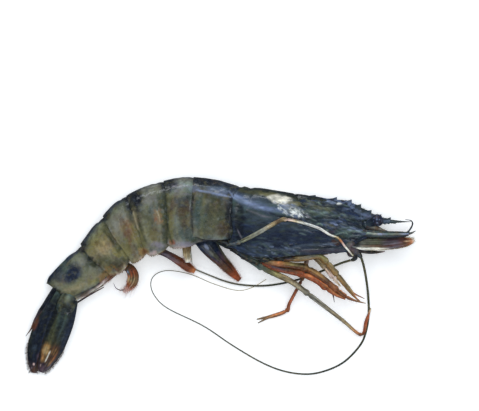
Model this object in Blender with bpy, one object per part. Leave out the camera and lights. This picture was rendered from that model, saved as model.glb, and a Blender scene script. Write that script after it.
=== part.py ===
"""Raw tiger prawn lying on its left side: one fused solid and two loose antennal whips.

All places are in millimetres in a layout frame: +X towards the head, +Y towards the back of the
prawn, +Z up from the surface it lies on. At the end the parts are moved by BOX_MIDDLE, so that
the middle of their common box is over the origin.
"""

import math
from typing import NamedTuple

import bmesh
import bpy
from mathutils import Vector
from mathutils.bvhtree import BVHTree

MM = 0.001
BOX_MIDDLE = Vector((-8.576, -31.833, 0.0))
UP = Vector((0.0, 0.0, 1.0))

# Trunk

TRUNK_SIDES = 28
BACK_ROUNDNESS = 2.15
BELLY_SQUARENESS = 2.9
SHELL_LIP = 0.5
CARAPACE_LIP = 0.7
LIP_STEP = 0.03
BACK_BULGE = 0.3
FLAP_BULGE = 1.0
TERGITE_STATIONS = (0.0, 0.2, 0.4, 0.6, 0.8, 1.0)
FLANK_SINK = 0.8
TAIL_ROOT_LENGTH = 0.07
TAIL_ROOT_TAPER = 1.6


class Segment(NamedTuple):
    """One ring of the abdomen, from its front joint to its rear joint."""

    length: float
    heading: float
    rear_height: float
    rear_width: float
    rear_lean: float


class Frame(NamedTuple):
    """One cross-section of the carapace."""

    x: float
    top: float
    bottom: float
    width: float
    lean: float
    keel: float


ABDOMEN = (
    Segment(length=17.9, heading=172.9, rear_height=31.3, rear_width=21.6, rear_lean=86.7),
    Segment(length=14.7, heading=185.3, rear_height=30.6, rear_width=21.0, rear_lean=95.0),
    Segment(length=14.0, heading=200.9, rear_height=28.6, rear_width=19.6, rear_lean=110.0),
    Segment(length=11.2, heading=216.7, rear_height=24.6, rear_width=17.2, rear_lean=120.0),
    Segment(length=13.1, heading=225.5, rear_height=19.8, rear_width=13.6, rear_lean=135.0),
    Segment(length=21.7, heading=219.8, rear_height=14.4, rear_width=9.6, rear_lean=141.0),
)
WAIST = Frame(x=-1.15, top=7.8, bottom=-18.7, width=20.4, lean=73.8, keel=0.1)
CARAPACE = (
    Frame(x=4.3, top=7.9, bottom=-21.9, width=21.4, lean=79.0, keel=0.12),
    Frame(x=11.7, top=7.1, bottom=-23.9, width=21.8, lean=83.4, keel=0.2),
    Frame(x=21.2, top=5.6, bottom=-24.0, width=21.0, lean=84.8, keel=0.3),
    Frame(x=30.8, top=4.1, bottom=-23.3, width=19.0, lean=85.4, keel=0.4),
    Frame(x=40.8, top=2.0, bottom=-22.2, width=15.8, lean=87.0, keel=0.45),
    Frame(x=49.8, top=-1.5, bottom=-20.9, width=12.0, lean=86.3, keel=0.45),
    Frame(x=56.6, top=-7.6, bottom=-18.9, width=7.2, lean=88.0, keel=0.2),
    Frame(x=61.0, top=-10.4, bottom=-18.0, width=3.6, lean=90.0, keel=0.1),
)
CARAPACE_STATIONS_PER_FRAME = 2
HEAD_PLANE = 10.0

# Head

RIDGE = ((22.0, 3.6), (34.0, 3.2), (43.6, 2.6), (50.5, 1.1), (59.3, -3.0), (67.8, -6.1), (77.0, -7.3))
KEEL_LINE = ((71.0, -8.2), (66.0, -8.6), (56.0, -6.6), (44.0, -3.4), (30.0, -1.0))
ROSTRUM_TEETH = (33.6, 43.0, 49.7, 54.3, 58.9, 63.3, 67.2)
TOOTH_LENGTH = 3.6
TOOTH_HEIGHT = 1.25
ROSTRUM_THICKNESS = 1.3
EYE_PLACE = (61.9, -6.7)
EYE_RADIUS = 2.7
EYE_SPREAD = 4.3
STALK_ROOT = (54.5, -9.5)

# Limbs, as joints with x, y, z and radius

FIFTH_LEG = (
    (-6.0, -18.0, 13.0, 1.1),
    (0.0, -16.4, 17.0, 1.0),
    (7.7, -12.6, 19.0, 1.0),
    (18.1, -6.7, 20.0, 0.95),
    (20.7, -6.3, 20.0, 0.8),
    (25.8, -7.1, 19.0, 0.65),
    (34.9, -9.9, 18.0, 0.6),
    (40.5, -13.1, 17.0, 0.55),
    (44.3, -14.7, 16.5, 0.55),
    (47.4, -18.5, 16.0, 0.5),
    (51.0, -22.6, 14.6, 0.35),
)
FOURTH_LEG = (
    (-3.0, -19.5, 13.0, 1.3),
    (9.9, -27.7, 13.6, 1.3),
    (22.9, -34.0, 12.4, 1.1),
    (30.6, -39.5, 10.8, 1.05),
    (45.9, -51.3, 5.6, 0.85),
    (54.9, -58.3, 2.4, 0.65),
    (57.3, -52.0, 2.0, 0.75),
    (59.3, -46.4, 1.8, 0.3),
)
THIRD_LEG = (
    (30.6, -21.0, 10.0, 1.2),
    (29.7, -28.1, 9.0, 1.0),
    (28.0, -33.5, 7.0, 0.8),
    (22.7, -43.9, 3.6, 0.75),
    (21.2, -47.5, 2.0, 0.8),
    (14.7, -50.0, 1.2, 0.8),
    (7.8, -51.4, 0.7, 0.3),
)
THIRD_LEG_THUMB = ((15.4, -49.7, 1.2, 0.6), (8.3, -53.1, 0.8, 0.3))
SECOND_LEG = (
    (22.1, -23.2, 12.0, 1.2),
    (35.6, -22.9, 13.4, 1.15),
    (39.0, -25.2, 12.8, 1.1),
    (43.6, -30.8, 11.0, 0.9),
    (51.3, -40.3, 8.4, 0.75),
    (54.5, -43.4, 7.6, 0.3),
)
FIRST_LEG = (
    (31.0, -23.0, 11.6, 1.1),
    (37.0, -27.4, 11.2, 1.0),
    (41.5, -32.3, 10.2, 0.85),
    (45.2, -36.0, 9.6, 0.3),
)
THIRD_JAW_LEG = (
    (4.5, -23.2, 13.0, 1.3),
    (9.9, -25.4, 14.6, 1.5),
    (20.7, -26.6, 15.0, 1.7),
    (29.8, -28.5, 14.6, 1.8),
    (36.7, -32.6, 13.2, 1.7),
    (43.6, -38.1, 11.6, 1.35),
    (47.7, -40.9, 10.8, 1.0),
    (56.9, -44.1, 9.2, 0.3),
)
UNDER_LEGS = (
    ((-4.0, -19.5, 5.0, 1.1), (8.0, -23.0, 2.0, 1.0), (25.0, -23.6, 1.3, 0.9), (40.0, -21.6, 1.2, 0.7)),
    ((2.7, -22.6, 6.0, 1.1), (14.0, -26.2, 3.4, 1.1), (28.0, -28.4, 1.7, 1.0), (43.0, -37.6, 0.9, 0.6)),
    ((14.0, -25.0, 6.0, 1.1), (26.0, -24.2, 2.6, 1.0), (36.5, -23.8, 1.4, 0.9), (46.0, -34.4, 0.9, 0.6)),
    ((9.0, -25.0, 6.0, 1.3), (22.0, -27.0, 4.0, 1.4), (31.0, -29.4, 3.2, 1.3), (45.0, -39.4, 2.2, 0.5)),
)
ANTENNULE = (
    (53.0, -11.2, 12.4, 2.4),
    (58.5, -11.5, 12.6, 2.2),
    (65.3, -12.0, 12.8, 1.7),
    (72.0, -13.0, 12.8, 1.0),
    (75.5, -12.8, 12.8, 0.6),
    (79.3, -11.7, 12.8, 0.3),
)
LOWER_SPINE = ((52.0, -19.6, 9.0, 1.0), (58.0, -20.8, 9.0, 1.0), (65.6, -20.7, 9.0, 0.3))
PEDUNCLE = ((47.5, -16.4, 13.0, 2.6), (51.6, -19.8, 13.4, 2.4), (54.3, -22.2, 13.2, 1.5))
LEG_SIDES = 6

# Sternum under the carapace, as x, y, height and width

STERNUM = (
    (-6.0, -18.0, 2.4, 5.0),
    (2.0, -21.2, 7.6, 12.0),
    (11.0, -24.6, 9.6, 14.0),
    (20.0, -26.0, 8.6, 13.0),
    (30.0, -25.6, 6.8, 10.0),
    (40.0, -23.6, 5.0, 7.6),
    (49.0, -21.6, 3.0, 5.0),
)

# Blades, as x, y, z and half width


class Blade(NamedTuple):
    """A thin leaf: its middle line, its thickness and the way its face looks."""

    name: str
    route: tuple
    thickness: float
    normal: tuple


ANTENNAL_SCALE = (
    (50.5, -16.6, 13.6, 3.0),
    (57.0, -17.0, 14.2, 4.3),
    (66.0, -17.2, 14.8, 4.2),
    (74.0, -16.5, 15.0, 3.4),
    (78.8, -15.7, 15.0, 1.5),
)
SCALE_NORMAL = (0.0, 0.86, 0.51)
EXOPOD = (
    (-75.6, -38.6, 7.8, 3.4),
    (-79.0, -50.0, 7.6, 4.9),
    (-81.8, -57.5, 6.4, 5.3),
    (-84.8, -65.0, 4.8, 4.9),
    (-88.2, -72.0, 3.4, 3.1),
    (-89.6, -75.2, 2.8, 1.2),
)
ENDOPOD = (
    (-80.2, -38.0, 6.2, 3.6),
    (-86.2, -50.0, 5.8, 4.4),
    (-88.9, -57.5, 4.7, 5.0),
    (-91.0, -65.0, 3.4, 4.8),
    (-92.4, -71.5, 2.2, 3.0),
    (-93.0, -75.6, 1.7, 1.1),
)
TELSON = (
    (-79.4, -32.6, 5.2, 3.0),
    (-85.3, -41.4, 4.9, 3.0),
    (-91.0, -50.3, 4.2, 1.7),
    (-96.4, -58.8, 3.6, 0.25),
)
TELSON_THICKNESS = 2.4
FAN_THICKNESS = 0.9
UNDER_FAN_DROP = 0.72
FIRST_PLEOPOD = (
    (-14.5, -16.5, 13.0, 4.8),
    (-11.2, -21.4, 12.4, 3.9),
    (-7.6, -25.4, 11.0, 3.0),
    (-4.2, -29.0, 9.6, 2.5),
    (0.2, -33.6, 8.4, 1.1),
)
SECOND_PLEOPOD = ((-23.9, -17.0, 13.0, 2.2), (-23.6, -21.6, 12.4, 1.9), (-23.2, -25.6, 11.8, 0.9))
THIRD_PLEOPOD = (
    (-37.5, -19.6, 12.6, 1.9),
    (-32.4, -22.0, 12.2, 1.7),
    (-27.0, -25.2, 11.4, 2.0),
    (-22.8, -28.0, 10.6, 2.1),
    (-20.0, -29.6, 10.2, 1.0),
)
FOURTH_PLEOPOD = (
    (-53.0, -26.4, 11.0, 1.6),
    (-48.4, -26.8, 11.0, 2.0),
    (-46.0, -30.0, 10.4, 2.0),
    (-46.3, -33.8, 9.6, 1.8),
    (-48.6, -36.8, 8.8, 1.3),
    (-52.0, -38.2, 8.2, 0.5),
)
FIFTH_PLEOPOD = ((-54.0, -27.4, 9.6, 1.6), (-58.3, -31.4, 8.8, 1.8), (-62.6, -35.2, 8.0, 0.8))
LEAF_FULLNESS = 1.6
PLEOPOD_NORMAL = (0.3, 0.3, 0.9)
PLEOPOD_THICKNESS = 1.3
UNDER_PLEOPOD_DROP = 0.62

# Antennal whips, as x, y, z on the way from the head to the tip

WHIP_ROOT_RADIUS = 0.48
WHIP_TIP_RADIUS = 0.2
WHIP_TAPER = 1.5
WHIP_POINT_SPACING = 3.6
WHIP_SIDES = 6
RIGHT_WHIP = (
    (54.9, -23.9, 12.4),
    (56.0, -27.6, 9.6),
    (57.2, -33.6, 5.4),
    (58.1, -40.5, 1.6),
    (58.4, -48.0, 0.55),
    (57.4, -56.0, 0.5),
    (54.6, -63.0, 0.5),
    (47.2, -70.7, 0.5),
    (38.2, -74.9, 0.5),
    (29.5, -76.2, 0.5),
    (19.2, -74.6, 0.5),
    (9.0, -70.4, 0.45),
    (-3.5, -63.0, 0.45),
    (-16.4, -54.4, 0.45),
    (-32.2, -46.6, 0.4),
    (-38.2, -41.0, 0.4),
    (-40.1, -35.4, 0.4),
    (-38.0, -31.2, 0.35),
    (-32.0, -29.4, 0.35),
    (-21.9, -31.2, 0.35),
    (-11.7, -35.4, 0.35),
    (-1.5, -38.3, 0.35),
    (5.4, -37.2, 0.35),
    (12.0, -33.4, 0.35),
)
LEFT_WHIP = (
    (50.0, -24.7, 7.0),
    (46.4, -25.8, 5.8),
    (41.6, -27.7, 5.4),
    (36.0, -30.0, 5.8),
    (30.2, -32.2, 4.9),
    (24.8, -33.9, 2.6),
    (17.0, -35.6, 1.5),
    (9.2, -36.3, 1.6),
    (0.0, -35.7, 1.7),
    (-6.8, -34.1, 1.8),
    (-12.6, -31.9, 1.8),
    (-18.2, -29.6, 1.6),
    (-24.8, -26.8, 1.4),
)


def material(name, colour, roughness):
    """Return a non-metallic material."""
    made = bpy.data.materials.new(name)
    made.use_nodes = True
    shader = made.node_tree.nodes["Principled BSDF"]
    shader.inputs["Base Color"].default_value = (*colour, 1.0)
    shader.inputs["Roughness"].default_value = roughness
    shader.inputs["Metallic"].default_value = 0.0
    made.diffuse_color = (*colour, 1.0)
    return made


def placed(x, y, z):
    """Return a place of the layout frame in metres from the part's origin."""
    return (Vector((x, y, z)) - BOX_MIDDLE) * MM


def smooth(points, steps=1, spacing=None):
    """Return points on a smooth curve through rows of numbers, by steps for each row or by spacing."""
    rows = [Vector(p) for p in points]
    rows = [rows[0] * 2 - rows[1], *rows, rows[-1] * 2 - rows[-2]]
    found = []
    for before, start, end, after in zip(rows, rows[1:], rows[2:], rows[3:]):
        if spacing:
            steps = max(1, round((end - start).length / spacing))
        for k in range(steps):
            t = k / steps
            pull = (end - before) * 0.5
            leave = (after - start) * 0.5
            cubic = start * (2 * t**3 - 3 * t**2 + 1) + end * (3 * t**2 - 2 * t**3)
            found.append(cubic + pull * (t**3 - 2 * t**2 + t) + leave * (t**3 - t**2))
    return [*found, rows[-2]]


def add_mesh(name, bm, group, look):
    """Turn a bmesh into an object of the group, with its faces pointing out."""
    bmesh.ops.recalc_face_normals(bm, faces=bm.faces)
    mesh = bpy.data.meshes.new(name)
    bm.to_mesh(mesh)
    bm.free()
    mesh.materials.append(look)
    made = bpy.data.objects.new(name, mesh)
    group.objects.link(made)
    return made


def loft(name, rings, group, look):
    """Skin a row of rings of layout points and close both ends."""
    bm = bmesh.new()
    loops = [[bm.verts.new(placed(*p)) for p in ring] for ring in rings]
    for low, high in zip(loops, loops[1:]):
        for k, vert in enumerate(low):
            after = (k + 1) % len(low)
            bm.faces.new((vert, low[after], high[after], high[k]))
    bm.faces.new(loops[0])
    bm.faces.new(loops[-1])
    return add_mesh(name, bm, group, look)


def signed_power(value, power):
    """Return the power of a number's size, with the number's sign."""
    return math.copysign(abs(value) ** power, value)


def body_ring(row, back_grow, flap_grow, side_grow):
    """Return one cross-section of the trunk, cut flat where it meets the surface below."""
    x, y, z, lean, height, width, keel = row
    back = Vector((math.cos(math.radians(lean)), math.sin(math.radians(lean)), 0.0))
    ring = []
    for k in range(TRUNK_SIDES):
        turn = math.tau * k / TRUNK_SIDES
        above = math.cos(turn) > 0
        power = 2 / (BACK_ROUNDNESS if above else BELLY_SQUARENESS)
        rise = signed_power(math.cos(turn), power)
        side = signed_power(math.sin(turn), power) * (1 - keel * max(rise, 0.0) ** 2)
        reach = height / 2 + (back_grow if above else flap_grow)
        place = Vector((x, y, z)) + back * (rise * reach) + UP * (side * (width / 2 + side_grow))
        place.z = max(place.z, 0.0)
        ring.append(place)
    return ring


def middle_height(width):
    """Return how high the prawn's middle plane is, where a flank is pressed a little flat."""
    return width / 2 - FLANK_SINK


def abdomen_rows():
    """Return the sections at the joints of the abdomen, from the waist to the tail."""
    joint = Vector((WAIST.x, (WAIST.top + WAIST.bottom) / 2, 0.0))
    rows = []
    for segment in ABDOMEN:
        heading = math.radians(segment.heading)
        joint = joint + Vector((math.cos(heading), math.sin(heading), 0.0)) * segment.length
        size = (segment.rear_lean, segment.rear_height, segment.rear_width, WAIST.keel)
        rows.append((joint.x, joint.y, middle_height(segment.rear_width), *size))
    return rows


def carapace_rows():
    """Return the sections of the carapace, from its rear edge to the face."""
    rows = []
    for frame in (WAIST, *CARAPACE):
        lift = max(middle_height(frame.width), HEAD_PLANE * min(1.0, frame.x / CARAPACE[3].x))
        height = (frame.top - frame.bottom) / math.sin(math.radians(frame.lean))
        middle = (frame.top + frame.bottom) / 2
        rows.append((frame.x, middle, lift, frame.lean, height, frame.width, frame.keel))
    return rows


def section_at(rows, place):
    """Return the section at a place along smooth rows, where whole numbers are the rows themselves."""
    index = min(max(math.floor(place), 0), len(rows) - 2)
    t = place - index
    start, end = Vector(rows[index]), Vector(rows[index + 1])
    before = Vector(rows[index - 1]) if index > 0 else start * 2 - end
    after = Vector(rows[index + 2]) if index + 2 < len(rows) else end * 2 - start
    cubic = start * (2 * t**3 - 3 * t**2 + 1) + end * (3 * t**2 - 2 * t**3)
    return cubic + (end - before) / 2 * (t**3 - 2 * t**2 + t) + (after - start) / 2 * (t**3 - t**2)


def trunk(group, look):
    """Make the trunk: the six rings of the abdomen, each over the next, and the carapace."""
    rows = [*reversed(abdomen_rows()), *carapace_rows()]
    waist = len(ABDOMEN)
    rings = [body_ring([*section_at(rows, -TAIL_ROOT_LENGTH)], *[-TAIL_ROOT_TAPER] * 3)]
    for index in range(waist - 1, -1, -1):
        for along in reversed(TERGITE_STATIONS):
            arch = math.sin(math.pi * along)
            lip = SHELL_LIP * along
            row = section_at(rows, waist - index - along - (LIP_STEP if along == 0 else 0.0))
            rings.append(body_ring(row, lip + BACK_BULGE * arch, lip + FLAP_BULGE * arch, lip))
    steps = CARAPACE_STATIONS_PER_FRAME
    for k in range(len(CARAPACE) * steps + 1):
        lip = CARAPACE_LIP if k == 0 else CARAPACE_LIP / 2
        rings.append(body_ring(section_at(rows, waist + k / steps), lip, lip, lip))
    return loft("prawn", rings, group, look)


def sternum(group, look):
    """Make the keel of leg roots under the carapace."""
    rings = []
    for x, y, height, width in smooth(STERNUM, 1):
        ring = []
        for k in range(LEG_SIDES * 2):
            turn = math.tau * k / (LEG_SIDES * 2)
            ring.append((x, y + math.cos(turn) * height / 2, HEAD_PLANE - 0.5 + math.sin(turn) * width / 2))
        rings.append(ring)
    return loft("sternum", rings, group, look)


def tube(name, joints, sides, group, look):
    """Make a tapered rod through joints of x, y, z and radius."""
    curve = bpy.data.curves.new(name, "CURVE")
    curve.dimensions = "3D"
    curve.bevel_depth = MM
    curve.bevel_resolution = (sides - 4) // 2
    curve.use_fill_caps = True
    spline = curve.splines.new("POLY")
    spline.points.add(len(joints) - 1)
    for point, (x, y, z, radius) in zip(spline.points, joints):
        point.co = (*placed(x, y, z), 1.0)
        point.radius = radius
    curve.materials.append(look)
    made = bpy.data.objects.new(name, curve)
    group.objects.link(made)
    return made


def flat_plate(name, outline, height, thickness, group, look):
    """Make a plate from an outline in the layout's XY plane."""
    curve = bpy.data.curves.new(name, "CURVE")
    curve.dimensions = "2D"
    curve.fill_mode = "BOTH"
    curve.extrude = thickness * MM / 2
    spline = curve.splines.new("POLY")
    spline.points.add(len(outline) - 1)
    for point, (x, y) in zip(spline.points, outline):
        place = placed(x, y, 0.0)
        point.co = (place.x, place.y, 0.0, 1.0)
    spline.use_cyclic_u = True
    curve.materials.append(look)
    made = bpy.data.objects.new(name, curve)
    made.location.z = height * MM
    group.objects.link(made)
    return made


def as_mesh(rod, group):
    """Replace a curve object by a mesh object with welded caps."""
    bpy.context.view_layer.update()
    graph = bpy.context.evaluated_depsgraph_get()
    mesh = bpy.data.meshes.new_from_object(rod.evaluated_get(graph))
    bm = bmesh.new()
    bm.from_mesh(mesh)
    bmesh.ops.remove_doubles(bm, verts=bm.verts, dist=1e-7)
    bmesh.ops.recalc_face_normals(bm, faces=bm.faces)
    bm.to_mesh(mesh)
    bm.free()
    name = rod.name
    place = rod.matrix_world.copy()
    bpy.data.objects.remove(rod)
    made = bpy.data.objects.new(name, mesh)
    made.matrix_world = place
    group.objects.link(made)
    return made


def leaf(blade, group, look):
    """Make a thin leaf along its middle line, sharp at its edges and thinner where it narrows."""
    rows = smooth(blade.route, 2)
    widest = max(row[3] for row in rows)
    normal = Vector(blade.normal).normalized()
    places = [Vector(row[:3]) for row in rows]
    rings = []
    for k, (place, row) in enumerate(zip(places, rows)):
        along = places[min(k + 1, len(places) - 1)] - places[max(k - 1, 0)]
        across = along.cross(normal).normalized()
        face = across.cross(along).normalized()
        half = row[3]
        crown = face * blade.thickness / 2 * min(1.0, LEAF_FULLNESS * half / widest)
        rings.append(
            (
                place - across * half,
                place - across * half * 0.55 + crown,
                place + across * half * 0.55 + crown,
                place + across * half,
                place + across * half * 0.55 - crown,
                place - across * half * 0.55 - crown,
            )
        )
    return loft(blade.name, rings, group, look)


def rostrum(group, look):
    """Make the toothed rostrum as a plate in the prawn's middle plane."""
    outline = []
    teeth = iter(ROSTRUM_TEETH)
    tooth = next(teeth)
    for (x0, y0), (x1, y1) in zip(RIDGE, RIDGE[1:]):
        outline.append((x0, y0))
        slope = (y1 - y0) / (x1 - x0)
        while tooth is not None and tooth < x1:
            foot = max(tooth - TOOTH_LENGTH, outline[-1][0] + 0.1)
            outline.append((foot, y0 + slope * (foot - x0)))
            outline.append((tooth, y0 + slope * (tooth - x0) + TOOTH_HEIGHT))
            outline.append((tooth + 0.3, y0 + slope * (tooth + 0.3 - x0)))
            tooth = next(teeth, None)
    outline += [RIDGE[-1], *KEEL_LINE]
    plate = flat_plate("rostrum", outline, HEAD_PLANE, ROSTRUM_THICKNESS, group, look)
    return as_mesh(plate, group)


def eyes(group, look):
    """Make both eyes and their stalks."""
    x, y = EYE_PLACE
    for side, name in ((1, "eye_right"), (-1, "eye_left")):
        z = HEAD_PLANE + side * EYE_SPREAD
        bm = bmesh.new()
        bmesh.ops.create_uvsphere(bm, u_segments=12, v_segments=8, radius=EYE_RADIUS * MM)
        bmesh.ops.translate(bm, verts=bm.verts, vec=placed(x, y, z))
        add_mesh(name, bm, group, look)
        stalk = ((*STALK_ROOT, HEAD_PLANE + side * 1.4, 1.5), (x, y, z, 1.9))
        as_mesh(tube(f"stalk_{name}", stalk, LEG_SIDES, group, look), group)


def laid_over(joints, body):
    """Raise the joints of a limb so that it lies on the body instead of in it."""
    skin = BVHTree.FromObject(body, bpy.context.evaluated_depsgraph_get())
    found = []
    for x, y, z, radius in joints:
        above = placed(x, y, 60.0)
        hit = skin.ray_cast(above, -UP)[0]
        height = z if hit is None else max(z, hit.z / MM + radius * 0.75)
        found.append((x, y, height, radius))
    return found


def mirrored(rows, drop):
    """Return the left limb's rows under the right limb's, nearer the surface below."""
    return [(x, y, max(z * (1 - drop), 0.7), r) for x, y, z, r in rows]


def limbs(body, group, look):
    """Make the legs, jaw legs, antennules and antennal peduncles."""
    bpy.context.view_layer.update()
    rods = {
        "leg_5": laid_over(FIFTH_LEG, body),
        "leg_4": FOURTH_LEG,
        "leg_3": THIRD_LEG,
        "leg_3_thumb": THIRD_LEG_THUMB,
        "leg_2": SECOND_LEG,
        "leg_1": FIRST_LEG,
        "jaw_leg": THIRD_JAW_LEG,
        "antennule_right": ANTENNULE,
        "antennule_left": [(x, y, 2 * HEAD_PLANE - z, r) for x, y, z, r in ANTENNULE],
        "lower_spine": LOWER_SPINE,
        "peduncle_right": PEDUNCLE,
        "peduncle_left": [(x - 2.6, y, 2 * HEAD_PLANE - z, r) for x, y, z, r in PEDUNCLE],
    }
    rods |= {f"under_leg_{k + 1}": joints for k, joints in enumerate(UNDER_LEGS)}
    for name, joints in rods.items():
        as_mesh(tube(name, joints, LEG_SIDES, group, look), group)


def leaves(group, look):
    """Make the antennal scales, the pleopods and the tail fan."""
    right = {
        "pleopod_1": FIRST_PLEOPOD,
        "pleopod_2": SECOND_PLEOPOD,
        "pleopod_3": THIRD_PLEOPOD,
        "pleopod_4": FOURTH_PLEOPOD,
        "pleopod_5": FIFTH_PLEOPOD,
    }
    for name, route in right.items():
        leaf(Blade(name, route, PLEOPOD_THICKNESS, PLEOPOD_NORMAL), group, look)
        under = mirrored(route, UNDER_PLEOPOD_DROP)
        leaf(Blade(f"under_{name}", under, PLEOPOD_THICKNESS, PLEOPOD_NORMAL), group, look)
    for name, route in (("exopod", EXOPOD), ("endopod", ENDOPOD)):
        leaf(Blade(name, route, FAN_THICKNESS, UP), group, look)
        under = mirrored(route, UNDER_FAN_DROP)
        leaf(Blade(f"under_{name}", under, FAN_THICKNESS, UP), group, look)
    run = Vector(TELSON[-1][:3]) - Vector(TELSON[0][:3])
    leaf(Blade("telson", TELSON, TELSON_THICKNESS, run.cross(UP)), group, look)
    leaf(Blade("scale", ANTENNAL_SCALE, FAN_THICKNESS, SCALE_NORMAL), group, look)
    low = [(x, y, 2 * HEAD_PLANE - z, half) for x, y, z, half in ANTENNAL_SCALE]
    normal = (SCALE_NORMAL[0], SCALE_NORMAL[1], -SCALE_NORMAL[2])
    leaf(Blade("under_scale", low, FAN_THICKNESS, normal), group, look)


def fuse(body, pieces):
    """Join the pieces' collection to the body and remove it."""
    union = body.modifiers.new("union", "BOOLEAN")
    union.operation = "UNION"
    union.solver = "EXACT"
    union.operand_type = "COLLECTION"
    union.collection = pieces
    bpy.context.view_layer.update()
    graph = bpy.context.evaluated_depsgraph_get()
    fused = bpy.data.meshes.new_from_object(body.evaluated_get(graph))
    body.modifiers.clear()
    body.data = fused
    for piece in list(pieces.objects):
        bpy.data.objects.remove(piece)
    bpy.data.collections.remove(pieces)


def whip(name, route, group, look):
    """Make a whip that thins evenly from its root to its tip."""
    places = smooth(route, spacing=WHIP_POINT_SPACING)
    last = len(places) - 1
    joints = []
    for k, place in enumerate(places):
        left = (1 - k / last) ** WHIP_TAPER
        joints.append((*place, WHIP_TIP_RADIUS + (WHIP_ROOT_RADIUS - WHIP_TIP_RADIUS) * left))
    return tube(name, joints, WHIP_SIDES, group, look)


def main():
    """Build the prawn and its two whips."""
    for thing in list(bpy.data.objects):
        bpy.data.objects.remove(thing)
    group = bpy.data.collections.new("raw_tiger_prawn")
    pieces = bpy.data.collections.new("pieces_to_fuse")
    for collection in (group, pieces):
        bpy.context.scene.collection.children.link(collection)
    shell = material("shell", (0.075, 0.083, 0.062), 0.35)
    bristle = material("whip", (0.22, 0.18, 0.11), 0.5)
    prawn = trunk(group, shell)
    sternum(pieces, shell)
    rostrum(pieces, shell)
    eyes(pieces, shell)
    limbs(prawn, pieces, shell)
    leaves(pieces, shell)
    fuse(prawn, pieces)
    prawn.data.shade_smooth()
    prawn.data.set_sharp_from_angle(angle=math.radians(40))
    whip("antenna_whip_right", RIGHT_WHIP, group, bristle)
    whip("antenna_whip_left", LEFT_WHIP, group, bristle)


main()
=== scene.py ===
"""Looks of a raw tiger prawn that lies on its left side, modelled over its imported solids.

Places are in millimetres in a layout frame: +X towards the head, +Y towards the prawn's back and
+Z up from the surface that it lies on. Meshes are made in metres from the part's origin.
"""

from __future__ import annotations

import itertools
import logging
import math
from collections.abc import Callable, Sequence
from dataclasses import dataclass, field, replace
from enum import Enum

import bmesh
import bpy
import numpy as np
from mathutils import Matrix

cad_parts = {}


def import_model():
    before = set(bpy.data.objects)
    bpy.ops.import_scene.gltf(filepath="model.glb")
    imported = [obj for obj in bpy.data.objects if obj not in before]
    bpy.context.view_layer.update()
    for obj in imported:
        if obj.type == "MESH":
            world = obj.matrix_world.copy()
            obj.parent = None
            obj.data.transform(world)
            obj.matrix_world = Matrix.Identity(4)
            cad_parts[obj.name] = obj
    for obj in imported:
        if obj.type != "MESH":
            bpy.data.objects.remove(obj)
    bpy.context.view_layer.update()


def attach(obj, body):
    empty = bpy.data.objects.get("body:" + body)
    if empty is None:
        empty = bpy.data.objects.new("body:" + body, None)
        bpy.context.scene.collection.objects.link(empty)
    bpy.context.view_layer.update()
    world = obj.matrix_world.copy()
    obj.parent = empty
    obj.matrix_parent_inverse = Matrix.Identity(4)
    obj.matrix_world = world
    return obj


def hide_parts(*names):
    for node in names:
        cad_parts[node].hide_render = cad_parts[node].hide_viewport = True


Array = np.ndarray
Rows = Sequence[Sequence[float]]
Floor = Callable[[Array], Array]

MM = 0.001
BOX_MIDDLE = np.array((-8.576, -31.833, 0.0))
UP = np.array((0.0, 0.0, 1.0))
HEAD_PLANE = 10.0  # height of the head's middle plane
LOWEST = 0.7  # least height of the middle of a leaf of the left side
LOG = logging.getLogger("prawn")


class Pigment(Enum):
    """Colours of shell, flesh and limbs, as sRGB values from 0 to 255."""

    INK = (17, 23, 37)
    NAVY = (32, 42, 64)
    SLATE = (52, 63, 74)
    STEEL = (82, 95, 110)
    COBALT = (42, 60, 102)
    # HAZE and SHEEN are pale blues used mostly as painted highlights; WHITE serves both as white shell
    # and as painted glints
    HAZE = (98, 112, 142)
    SHEEN = (136, 150, 184)
    TEAL = (66, 84, 80)
    MINT = (118, 138, 128)
    PINE = (52, 58, 42)
    OLIVE = (80, 80, 54)
    MOSS = (124, 118, 72)
    SAGE = (108, 112, 88)
    STONE = (122, 122, 112)
    LILAC = (128, 122, 134)
    CREAM = (222, 216, 200)
    WHITE = (236, 238, 232)
    ROSE = (198, 168, 160)
    PLUM = (78, 60, 70)
    BROWN = (84, 56, 38)
    RUST = (106, 56, 34)
    EMBER = (152, 74, 40)
    ORANGE = (184, 114, 68)
    HONEY = (140, 104, 58)
    TAN = (150, 130, 92)
    SAND = (178, 164, 132)

    @property
    def linear(self) -> Array:
        """The colour as linear red, green and blue."""
        share = np.array(self.value) / 255
        return np.where(share <= 0.04045, share / 12.92, ((share + 0.055) / 1.055) ** 2.4)


(INK, NAVY, SLATE, STEEL, COBALT, HAZE, SHEEN, TEAL, MINT, PINE, OLIVE, MOSS, SAGE, STONE, LILAC,
 CREAM, WHITE, ROSE, PLUM, BROWN, RUST, EMBER, ORANGE, HONEY, TAN, SAND) = Pigment


# Shader expressions


class Wire:
    """A socket of a shader that Python expressions can use."""

    def __init__(self, graph: "Graph", socket: bpy.types.NodeSocket) -> None:
        """Wrap an output socket of a graph."""
        self.graph = graph
        self.socket = socket

    def _math(self, operation: str, left: "Term", right: "Term") -> "Wire":
        """Return the result of a Math node."""
        return self.graph.node("ShaderNodeMath", {"operation": operation}, {0: left, 1: right})

    def __add__(self, other: "Term") -> "Wire":
        """Return self + other."""
        return self._math("ADD", self, other)

    def __sub__(self, other: "Term") -> "Wire":
        """Return self - other."""
        return self._math("SUBTRACT", self, other)

    def __rsub__(self, other: "Term") -> "Wire":
        """Return other - self."""
        return self._math("SUBTRACT", other, self)

    def __mul__(self, other: "Term") -> "Wire":
        """Return self * other."""
        return self._math("MULTIPLY", self, other)

    __radd__ = __add__
    __rmul__ = __mul__


Term = Wire | float | tuple


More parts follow.
